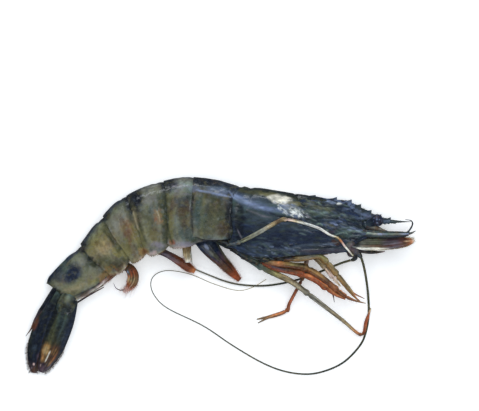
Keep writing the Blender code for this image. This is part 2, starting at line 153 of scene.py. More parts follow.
class Graph:
    """The node tree of one material."""

    def __init__(self, name: str) -> None:
        """Make a material with nothing but its output node."""
        self.material = bpy.data.materials.new(name)
        self.material.use_nodes = True
        self.tree = self.material.node_tree
        self.tree.nodes.clear()
        self.output = self.tree.nodes.new("ShaderNodeOutputMaterial")

    def node(self, kind: str, settings: dict, inputs: dict, output: int | str = 0) -> Wire:
        """Add a node.

        Args:
            kind: The node's type.
            settings: Properties of the node, set before its sockets.
            inputs: A value or wire for each input socket, by index or name.
            output: The output socket to return.

        Returns:
            The wrapped output socket.
        """
        made = self.tree.nodes.new(kind)
        for key, value in settings.items():
            setattr(made, key, value)
        for key, value in inputs.items():
            if isinstance(value, Wire):
                self.tree.links.new(value.socket, made.inputs[key])
            else:
                made.inputs[key].default_value = value
        return Wire(self, made.outputs[output])

    def places(self, stretch: Sequence[float]) -> Wire:
        """Return the place on the piece in millimetres, stretched along each axis."""
        place = self.node("ShaderNodeTexCoord", {}, {}, "Object")
        scale = tuple(1 / (MM * share) for share in stretch)
        return self.node("ShaderNodeVectorMath", {"operation": "MULTIPLY"}, {0: place, 1: scale})

    def noise(self, places: Wire, size: float, detail: float = 3.0) -> Wire:
        """Return soft noise from 0 to 1 with lumps of a size in millimetres."""
        return self.node(
            "ShaderNodeTexNoise", {},
            {"Vector": places, "Scale": 1 / size, "Detail": detail, "Roughness": 0.6}
        )

    def step(self, value: Wire, low: float, high: float) -> Wire:
        """Return a smooth step of a value from 0 at low to 1 at high."""
        return self.node(
            "ShaderNodeMapRange", {"interpolation_type": "SMOOTHSTEP"},
            {"Value": value, "From Min": low, "From Max": high},
        )

    def mix(self, share: Term, under: Term, over: Term, blend: str = "MIX") -> Wire:
        """Return one colour laid over another by a share."""
        settings = {"data_type": "RGBA", "blend_type": blend}
        return self.node("ShaderNodeMix", settings, {0: share, 6: under, 7: over}, 2)


@dataclass(frozen=True)
class Tint:
    """Patches of one pigment scattered over a finish."""

    pigment: Pigment
    size: float
    share: float
    low: float = 0.5
    high: float = 0.68


# Dark and pale clouds that every finish multiplies into its colour, and what all finishes share
CLOUD_SHARE = 0.4
CLOUD_DARK = (0.45, 0.45, 0.47, 1)
CLOUD_PALE = (1.35, 1.35, 1.3, 1)
WET_CHITIN = {
    "Coat Roughness": 0.09, "IOR": 1.42, "Subsurface Radius": (1.0, 0.5, 0.3),
    "Subsurface Scale": 0.6 * MM,
}


@dataclass(frozen=True)
class Finish:
    """A painted surface with mottling, pigment dots, gloss and fine relief.

    Sizes are in millimetres. The paint itself is a colour at each point of the mesh.
    """

    name: str
    slot: str = "shell"
    tints: tuple[Tint, ...] = ()
    dots: Pigment = INK
    dot_spacing: float = 0.9
    dot_share: float = 0.3
    grain: float = 0.5
    relief: float = 0.06
    ripple: float = 2.4
    stretch: tuple[float, float, float] = (1.0, 1.0, 1.0)
    dull: float = 0.42
    bright: float = 0.24
    coat: float = 0.5
    glow: float = 0.04

    def dress(self) -> bpy.types.Material:
        """Return the finish as a material."""
        graph = Graph(self.name)
        places = graph.places(self.stretch)
        colour = graph.node("ShaderNodeAttribute", {"attribute_name": "paint"}, {}, "Color")
        for tint in self.tints:
            patch = graph.step(graph.noise(places, tint.size, 4.0), tint.low, tint.high)
            colour = graph.mix(patch * tint.share, colour, (*tint.pigment.linear, 1.0))
        shade = graph.step(graph.noise(places, self.grain * 3.4, 5.0), 0.3, 0.7)
        colour = graph.mix(CLOUD_SHARE, colour, graph.mix(shade, CLOUD_DARK, CLOUD_PALE), "MULTIPLY")
        cells = graph.node(
            "ShaderNodeTexVoronoi", {},
            {"Vector": places, "Scale": 1 / self.dot_spacing, "Randomness": 1.0}
        )
        dots = 1 - graph.step(cells, 0.14, 0.3)
        crowd = graph.step(graph.noise(places, 4.0), 0.42, 0.62)
        colour = graph.mix(dots * crowd * self.dot_share, colour, (*self.dots.linear, 1.0))
        fine = graph.noise(places, self.grain, 4.0)
        broad = graph.noise(places, self.ripple, 2.0)
        rough = self.bright + (self.dull - self.bright) * graph.step(fine + broad * 0.6, 0.55, 1.0)
        height = fine * self.relief + broad * (self.relief * 1.6) - dots * (self.relief * 0.4)
        relief = {"Strength": 0.9, "Distance": MM, "Height": height}
        bump = graph.node("ShaderNodeBump", {}, relief, "Normal")
        inputs = WET_CHITIN | {
            "Base Color": colour, "Roughness": rough, "Normal": bump, "Coat Weight": self.coat,
            "Subsurface Weight": self.glow,
        }
        settings = {"subsurface_method": "BURLEY"}
        surface = graph.node("ShaderNodeBsdfPrincipled", settings, inputs, "BSDF")
        graph.tree.links.new(surface.socket, graph.output.inputs["Surface"])
        return graph.material


SHELL = Finish(
    "wet_shell",
    tints=(
        Tint(MOSS, 2.6, 0.3), Tint(STEEL, 1.7, 0.28), Tint(BROWN, 3.4, 0.3, 0.54, 0.7),
        Tint(STONE, 0.8, 0.22, 0.56, 0.7),
    ),
)
HEAD_SHELL = Finish(
    "wet_head_shell",
    tints=(Tint(TEAL, 2.4, 0.35), Tint(STEEL, 1.3, 0.25, 0.54, 0.7), Tint(PINE, 3.0, 0.4, 0.5, 0.66)),
    stretch=(2.2, 0.8, 1.0), relief=0.07,
)
FLESH = Finish("raw_flesh", tints=(Tint(STEEL, 2.0, 0.3),), dot_share=0.12, glow=0.2, bright=0.2)
LIMB = Finish(
    "limb_shell", tints=(Tint(TAN, 1.2, 0.3), Tint(BROWN, 1.6, 0.3)), dots=RUST, dot_spacing=0.55,
    grain=0.3, relief=0.035, coat=0.3, glow=0.05,
)
LEAF = Finish(
    "fan_shell", tints=(Tint(OLIVE, 1.8, 0.25), Tint(STEEL, 1.2, 0.16, 0.54, 0.7)), grain=0.35,
    relief=0.045,
)
EYE = Finish("eye_facets", tints=(Tint(BROWN, 0.8, 0.5),), dot_spacing=0.16, grain=0.12, relief=0.02)
HAIR = Finish("bristles", dot_share=0.0, relief=0.0, grain=0.4, coat=0.1, bright=0.4, dull=0.6, glow=0.2)
WHIP = Finish(
    "whip_rings", slot="whip", tints=(Tint(TAN, 2.0, 0.3),), dot_spacing=0.4, dot_share=0.2, grain=0.2,
    relief=0.02,
)


# Forms


def curve_through(rows: Rows, spots: Array) -> Array:
    """Read a smooth curve through rows of numbers.

    Args:
        rows: The rows that the curve passes through.
        spots: Places along the curve, where whole numbers are the rows themselves.

    Returns:
        One row for each spot.
    """
    given = np.asarray(rows, float)
    given = np.vstack([2 * given[0] - given[1], given, 2 * given[-1] - given[-2]])
    index = np.clip(np.floor(spots).astype(int), 0, len(given) - 4)
    t = (spots - index)[:, None]
    before, start, end, after = (given[index + k] for k in range(4))
    cubic = start * (2 * t**3 - 3 * t**2 + 1) + end * (3 * t**2 - 2 * t**3)
    return cubic + (end - before) / 2 * (t**3 - 2 * t**2 + t) + (after - start) / 2 * (t**3 - t**2)


def run_along(line: Array) -> Array:
    """Return the distance along a line from its first point to each of its points."""
    return np.concatenate([[0], np.cumsum(np.linalg.norm(np.diff(line, axis=0), axis=1))])


def smooth_route(rows: Rows, spacing: float) -> Array:
    """Return points about a spacing apart on the curve through rows that start with x, y and z."""
    dense = curve_through(rows, np.linspace(0, len(rows) - 1, 40 * len(rows)))
    run = run_along(dense[:, :3])
    wanted = np.linspace(0, run[-1], max(4, round(run[-1] / spacing)))
    return np.column_stack([np.interp(wanted, run, column) for column in dense.T])


def unit(vectors: Array) -> Array:
    """Return vectors scaled to a length of one."""
    return vectors / np.maximum(np.linalg.norm(vectors, axis=-1, keepdims=True), 1e-9)


def soft_step(low: float, high: float, value: Array) -> Array:
    """Return a smooth step from 0 at low to 1 at high."""
    t = np.clip((value - low) / (high - low), 0, 1)
    return t * t * (3 - 2 * t)


def hump(value: Array, middle: float, width: float) -> Array:
    """Return a bell curve of height one round a middle value."""
    return np.exp(-(((value - middle) / width) ** 2))


def ramp(stops: Sequence[tuple[float, Pigment]], where: Array) -> Array:
    """Return the colours at places along a row of (place, pigment) stops."""
    places = [place for place, _ in stops]
    colours = np.array([pigment.linear for _, pigment in stops])
    return np.stack([np.interp(where, places, channel) for channel in colours.T], axis=-1)


def laid(under: Array, pigment: Pigment, share: Array) -> Array:
    """Return colours with a pigment laid over them by a share."""
    return under + (pigment.linear - under) * np.clip(share, 0, 1)[..., None]


class Lattice:
    """Smooth seeded noise in space, from -1 to 1."""

    def __init__(self, seed: int, cells: int = 24) -> None:
        """Draw the random values of the lattice."""
        self.cells = cells
        self.values = np.random.default_rng(seed).random((cells, cells, cells)) * 2 - 1

    def __call__(self, places: Array, size: float | Sequence[float]) -> Array:
        """Return the noise at places, with lumps of a size in the places' own units."""
        grid = places / np.asarray(size, float)
        base = np.floor(grid).astype(int)
        part = grid - base
        part = part * part * (3 - 2 * part)
        total = np.zeros(grid.shape[:-1])
        for corner in itertools.product((0, 1), repeat=3):
            weight = np.prod(np.where(corner, part, 1 - part), axis=-1)
            index = (base + corner) % self.cells
            total += weight * self.values[index[..., 0], index[..., 1], index[..., 2]]
        return total

    def layered(self, places: Array, size: float) -> Array:
        """Return the sum of three finer and finer layers of the noise."""
        return sum(self(places + 7.3 * k, size / 2**k) / 2**k for k in range(3)) / 1.75


NOISE = Lattice(seed=11)


def tube(route: Array, radii: Array, sides: int = 12, oval: float = 1.0) -> Array:
    """Make rings of points round a route.

    Args:
        route: Points of the middle line.
        radii: The radius at each point.
        sides: Points in each ring.
        oval: Height of a ring as a share of its width.

    Returns:
        A grid of points, ring by ring.
    """
    along = unit(np.gradient(route, axis=0))
    side = unit(np.cross(along, UP) + np.array((1e-6, 0, 0)))
    top = np.cross(side, along)
    turn = np.linspace(0, math.tau, sides, endpoint=False)[None, :, None]
    ring = np.cos(turn) * side[:, None] + np.sin(turn) * top[:, None] * oval
    return route[:, None] + ring * radii[:, None, None]


def raised(points: Array, height: Array, wrap: bool = False) -> Array:
    """Move the points of a grid out along the surface's normals by a height."""
    down = np.gradient(points, axis=0)
    if wrap:
        across = np.roll(points, -1, axis=1) - np.roll(points, 1, axis=1)
    else:
        across = np.gradient(points, axis=1)
    normal = unit(np.cross(down, across))
    centre = points.mean(axis=1, keepdims=True)
    if np.sum(normal * (points - centre)) < 0:
        normal = -normal
    moved = points + normal * height[..., None]
    moved[..., 2] = np.maximum(moved[..., 2], 0.0)
    return moved


STAIN_FADE = (0.55, 1.2)  # where a stain starts and ends its fading, as shares of its half sizes


@dataclass(frozen=True)
class Stain:
    """A soft-edged patch of colour, given by its middle, its half sizes and how far it is turned."""

    x: float
    y: float
    long: float
    wide: float
    turn: float
    pigment: Pigment
    share: float = 0.8
    ragged: float = 0.35
    fray: float = 3.0

    def cover(self, points: Array) -> Array:
        """Return how much of the stain lies at each point."""
        angle = math.radians(self.turn)
        dx, dy = points[..., 0] - self.x, points[..., 1] - self.y
        u = dx * math.cos(angle) + dy * math.sin(angle)
        v = dy * math.cos(angle) - dx * math.sin(angle)
        reach = np.hypot(u / self.long, v / self.wide)
        reach = reach + self.ragged * NOISE.layered(points, self.fray)
        return (1 - soft_step(*STAIN_FADE, reach)) * self.share


def stained(points: Array, paint: Array, stains: Sequence[Stain]) -> Array:
    """Return the paint of a grid with stains laid over it in order."""
    for stain in stains:
        paint = laid(paint, stain.pigment, stain.cover(points))
    return paint


@dataclass(frozen=True)
class Streak:
    """A furrow, a ridge or a line of colour through points of x and y on the flank.

    A positive height is a ridge. Without a pigment the streak only shapes the surface.
    """

    line: Rows
    width: float
    height: float = 0.0
    pigment: Pigment | None = None
    share: float = 0.6

    def cover(self, points: Array) -> Array:
        """Return how near the streak each point is, from 0 to 1, fading at its ends."""
        line = curve_through(self.line, np.linspace(0, len(self.line) - 1, 5 * len(self.line)))
        flat = points[..., :2]
        reach = 3 * self.width
        close = np.all((flat > line.min(axis=0) - reach) & (flat < line.max(axis=0) + reach), axis=-1)
        found = flat[close]
        near = np.full(len(found), np.inf)
        where = np.zeros(len(found))
        for step, (start, end) in enumerate(zip(line, line[1:])):
            run = end - start
            offset = found - start
            share = np.clip(offset @ run / (run @ run), 0, 1)
            gap = np.linalg.norm(offset - share[..., None] * run, axis=-1)
            where = np.where(gap < near, (step + share) / (len(line) - 1), where)
            near = np.minimum(near, gap)
        thin = self.width * (0.35 + 0.65 * np.sin(np.pi * np.clip(where, 0.02, 0.98)) ** 0.5)
        cover = np.zeros(points.shape[:2])
        cover[close] = np.exp(-((near / thin) ** 2))
        return cover


def streaked(
    points: Array, height: Array, paint: Array, streaks: Sequence[Streak]
) -> tuple[Array, Array]:
    """Return the height and paint of a grid with streaks added in order."""
    for streak in streaks:
        cover = streak.cover(points)
        height = height + streak.height * cover
        if streak.pigment:
            broken = 0.85 + 0.4 * NOISE(points, (1.6, 1.0, 1.0))
            paint = laid(paint, streak.pigment, streak.share * cover * broken)
    return height, paint


def deepened(colour: Array, pivot: float = 0.13, power: float = 0.2) -> Array:
    """Return linear colours with dark tones made darker and pale ones paler round a pivot."""
    level = np.maximum(colour.mean(axis=-1, keepdims=True), 1e-4)
    return np.clip(colour * (level / pivot) ** power, 0, 1)


BRISTLE_DROOP = np.array((0.0, 0.0, -0.12))
BRISTLE_TAPER = ((0.0, 1.0), (0.55, 0.7), (1.0, 0.12))  # places along it, with shares of its radius
BRISTLE_FLOOR = 0.02  # least height over the surface below


class Skin:
    """Grids of layout points with a colour at each point, gathered into one mesh."""

    def __init__(self) -> None:
        """Start with no points."""
        self.points: list[Array] = []
        self.colours: list[Array] = []
        self.faces: list[list[int]] = []
        self.count = 0

    def add(self, points: Array, colour: Array, wrap: bool = False, caps: bool = False) -> None:
        """Add a grid.

        Args:
            points: The grid's points, row by row.
            colour: One colour, or one for each point.
            wrap: Whether the last column joins the first.
            caps: Whether the first and last rows are closed by a face.
        """
        rows, cols = points.shape[:2]
        down = np.arange(rows - 1)[:, None] * cols + self.count
        over = np.arange(cols if wrap else cols - 1)[None]
        after = (over + 1) % cols
        quads = np.stack([down + over, down + after, down + cols + after, down + cols + over], axis=-1)
        self.faces += quads.reshape(-1, 4).tolist()
        if caps:
            self.faces.append(list(range(self.count, self.count + cols)))
            self.faces.append(list(range(self.count + (rows - 1) * cols, self.count + rows * cols)))
        self.points.append(points.reshape(-1, 3))
        self.colours.append(deepened(np.broadcast_to(colour, points.shape).reshape(-1, 3)))
        self.count += rows * cols

    def hairs(self, roots: Array, ways: Array, lengths: Array, radius: float, colour: Array) -> None:
        """Add one thin three-sided bristle for each root, along its way."""
        side = unit(np.cross(ways, UP) + np.array((1e-4, 0, 0)))
        top = np.cross(unit(ways), side)
        turn = np.linspace(0, math.tau, 3, endpoint=False)[:, None]
        for root, way, length, left, high in zip(roots, unit(ways), lengths, side, top):
            rings = []
            for share, thick in BRISTLE_TAPER:
                middle = root + (way + BRISTLE_DROOP * share) * length * share
                rings.append(middle + (np.cos(turn) * left + np.sin(turn) * high) * radius * thick)
            grid = np.array(rings)
            grid[..., 2] = np.maximum(grid[..., 2], BRISTLE_FLOOR)
            self.add(grid, colour, wrap=True, caps=True)

    def mesh(self, name: str) -> bpy.types.Mesh:
        """Return the grids as one mesh in metres from the part's origin, with its paint."""
        mesh = bpy.data.meshes.new(name)
        mesh.from_pydata((np.vstack(self.points) - BOX_MIDDLE) * MM, [], self.faces)
        form = bmesh.new()
        form.from_mesh(mesh)
        bmesh.ops.recalc_face_normals(form, faces=form.faces)
        form.to_mesh(mesh)
        form.free()
        paint = mesh.attributes.new("paint", "FLOAT_COLOR", "POINT")
        colours = np.clip(np.vstack(self.colours), 0, 1)
        paint.data.foreach_set("color", np.column_stack([colours, np.ones(len(colours))]).ravel())
        mesh.shade_smooth()
        return mesh


@dataclass
class Workshop:
    """Turns skins into finished pieces that ride on the prawn's body."""

    body: str = "root"
    looks: dict[str, bpy.types.Material] = field(default_factory=dict)

    def look(self, finish: Finish) -> bpy.types.Material:
        """Return the material of a finish, made on its first use."""
        if finish.name not in self.looks:
            self.looks[finish.name] = finish.dress()
        return self.looks[finish.name]

    def piece(
        self, name: str, skin: Skin, finish: Finish, thickness: float = 0.0, node: str = "prawn"
    ) -> None:
        """Make one piece.

        Args:
            name: The piece's name.
            skin: Its surface.
            finish: Its finish.
            thickness: How thick an open surface becomes, in millimetres.
            node: The solid that it stands for.
        """
        made = bpy.data.objects.new(name, skin.mesh(name))
        bpy.context.scene.collection.objects.link(made)
        if thickness:
            plate = made.modifiers.new("plate", "SOLIDIFY")
            plate.thickness = thickness * MM
            plate.offset = -1.0
        made.data.materials.append(self.look(finish))
        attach(made, self.body)
        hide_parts(node)
        LOG.info("%s: %d faces", name, len(made.data.polygons))

    def closed(
        self, name: str, points: Array, paint: Array, finish: Finish, node: str = "prawn"
    ) -> None:
        """Make a piece of one closed grid of points."""
        skin = Skin()
        skin.add(points, paint, wrap=True, caps=True)
        self.piece(name, skin, finish, node=node)


# Trunk


class Profile(Enum):
    """The two kinds of cross-section of the trunk."""

    PLATE = "plate with straight side flaps"
    FLESH = "closed round body"


@dataclass
class Trunk:
    """The line of cross-sections that shell plates and flesh follow.

    Rings of the abdomen are (length, heading, height, width, lean) at their rear joints. Frames of the
    carapace are (x, top, bottom, width, lean, keel), from the waist to the face.
    """

    rings: Rows = (
        (17.9, 172.9, 31.3, 21.6, 86.7), (14.7, 185.3, 30.6, 21, 95), (14, 200.9, 28.6, 19.6, 110),
        (11.2, 216.7, 24.6, 17.2, 120), (13.1, 225.5, 19.8, 13.6, 135), (21.7, 219.8, 14.4, 9.6, 141),
    )
    frames: Rows = (
        (-1.15, 7.8, -18.7, 20.4, 73.8, 0.1), (4.3, 7.9, -21.9, 21.4, 79, 0.12),
        (11.7, 7.1, -23.9, 21.8, 83.4, 0.2), (21.2, 5.6, -24, 21, 84.8, 0.3),
        (30.8, 4.1, -23.3, 19, 85.4, 0.4), (40.8, 2, -22.2, 15.8, 87, 0.45),
        (49.8, -1.5, -20.9, 12, 86.3, 0.45), (56.6, -7.6, -18.9, 7.2, 88, 0.2),
        (61, -10.4, -18, 3.6, 90, 0.1),
    )
    flank_sink: float = 0.8
    back_roundness: float = 2.15
    belly_squareness: float = 2.9
    flap_turn: float = 60.0
    flap_tuck: float = 0.12
    rows: Array = field(init=False)

    def __post_init__(self) -> None:
        """Work out the row of sections as x, y, z, lean, height, width and keel."""
        waist = self.frames[0]
        joint = np.array((waist[0], (waist[1] + waist[2]) / 2))
        behind = []
        for length, heading, height, width, lean in self.rings:
            angle = math.radians(heading)
            joint = joint + np.array((math.cos(angle), math.sin(angle))) * length
            behind.append((*joint, width / 2 - self.flank_sink, lean, height, width, waist[5]))
        front = []
        for x, top, bottom, width, lean, keel in self.frames:
            lift = max(width / 2 - self.flank_sink, HEAD_PLANE * min(1.0, x / self.frames[3][0]))
            height = (top - bottom) / math.sin(math.radians(lean))
            front.append((x, (top + bottom) / 2, lift, lean, height, width, keel))
        self.rows = np.array([*reversed(behind), *front])

    @property
    def waist(self) -> int:
        """The place along the trunk where the carapace starts."""
        return len(self.rings)

    def surface(self, spots: Array, turns: Array, grow: Array, profile: Profile) -> Array:
        """Return points on the trunk.

        Args:
            spots: Places along the trunk, where whole numbers are its sections.
            turns: Degrees from the middle of the back, positive up the right flank.
            grow: How far the points stand off the sections.
            profile: Which kind of cross-section they follow.

        Returns:
            The points, in a grid of the inputs' shape.
        """
        spots, turns, grow = np.broadcast_arrays(spots, turns, grow)
        rows = curve_through(self.rows, spots.ravel()).reshape(*spots.shape, -1)
        x, y, z, lean, height, width, keel = np.moveaxis(rows, -1, 0)
        angle = np.radians(np.abs(turns))
        up = np.cos(angle) > 0
        power = 2 / np.where(up, self.back_roundness, self.belly_squareness)
        rise = np.abs(np.cos(angle)) ** power * np.where(up, 1, -1)
        side = np.abs(np.sin(angle)) ** power * (1 - keel * np.maximum(rise, 0) ** 2)
        if profile is Profile.PLATE:
            flap = (90 - np.abs(turns)) / self.flap_turn
            rise = np.where(up, rise, flap)
            side = np.where(up, side, 1 - self.flap_tuck * flap**2)
        reach = rise * (height / 2 + grow)
        level = z + np.sign(turns) * side * (width / 2 + grow)
        lean = np.radians(lean)
        x, y = x + np.cos(lean) * reach, y + np.sin(lean) * reach
        return np.stack([x, y, np.maximum(level, 0)], axis=-1)


@dataclass
class Flesh:
    """The soft body that shows between and below the shell plates."""

    trunk: Trunk
    rows: int = 170
    cols: int = 72
    start: float = 0.04
    past_waist: float = 7.2
    rib: float = 0.5
    sink: float = 1.5
    belly_sink: float = 1.7

    def build(self, shop: Workshop) -> None:
        """Make the core of the body with its ribbed belly."""
        spots = np.linspace(self.start, self.trunk.waist + self.past_waist, self.rows)[:, None]
        turns = np.linspace(-180, 180, self.cols, endpoint=False)[None]
        belly = soft_step(100, 150, np.abs(turns))
        ribs = np.cos(spots * math.tau) * self.rib * belly
        grow = ribs - self.sink - (self.belly_sink - self.sink) * belly
        points = self.trunk.surface(spots, turns, grow, Profile.FLESH)
        points[..., 2] = np.maximum(points[..., 2], 0.5)
        paint = ramp(((0, SLATE), (95, STONE), (140, SAND)), np.abs(turns))
        paint = np.broadcast_to(paint, points.shape)
        paint = laid(paint, BROWN, 0.5 * soft_step(0.1, 0.8, NOISE.layered(points, 4.0)))
        paint = laid(paint, NAVY, 0.9 * soft_step(-26, -18, points[..., 0]))
        shop.closed("body_flesh", points, paint, FLESH)


@dataclass(frozen=True)
class Tergite:
    """One ring of shell on the abdomen.

    Colours are stops of degrees from the back. Edge is how far the rear edge lies past the joint at the
    back, the flank and the hem, as a share of the ring. Hem is the flap's depth in the middle, at its
    front corner and at its rear corner.
    """

    name: str
    colours: tuple[tuple[float, Pigment], ...]
    edge: tuple[float, float, float]
    hem: tuple[float, float, float] = (1.0, 0.84, 0.86)
    keel: float = 0.0
    close: float = 0.0


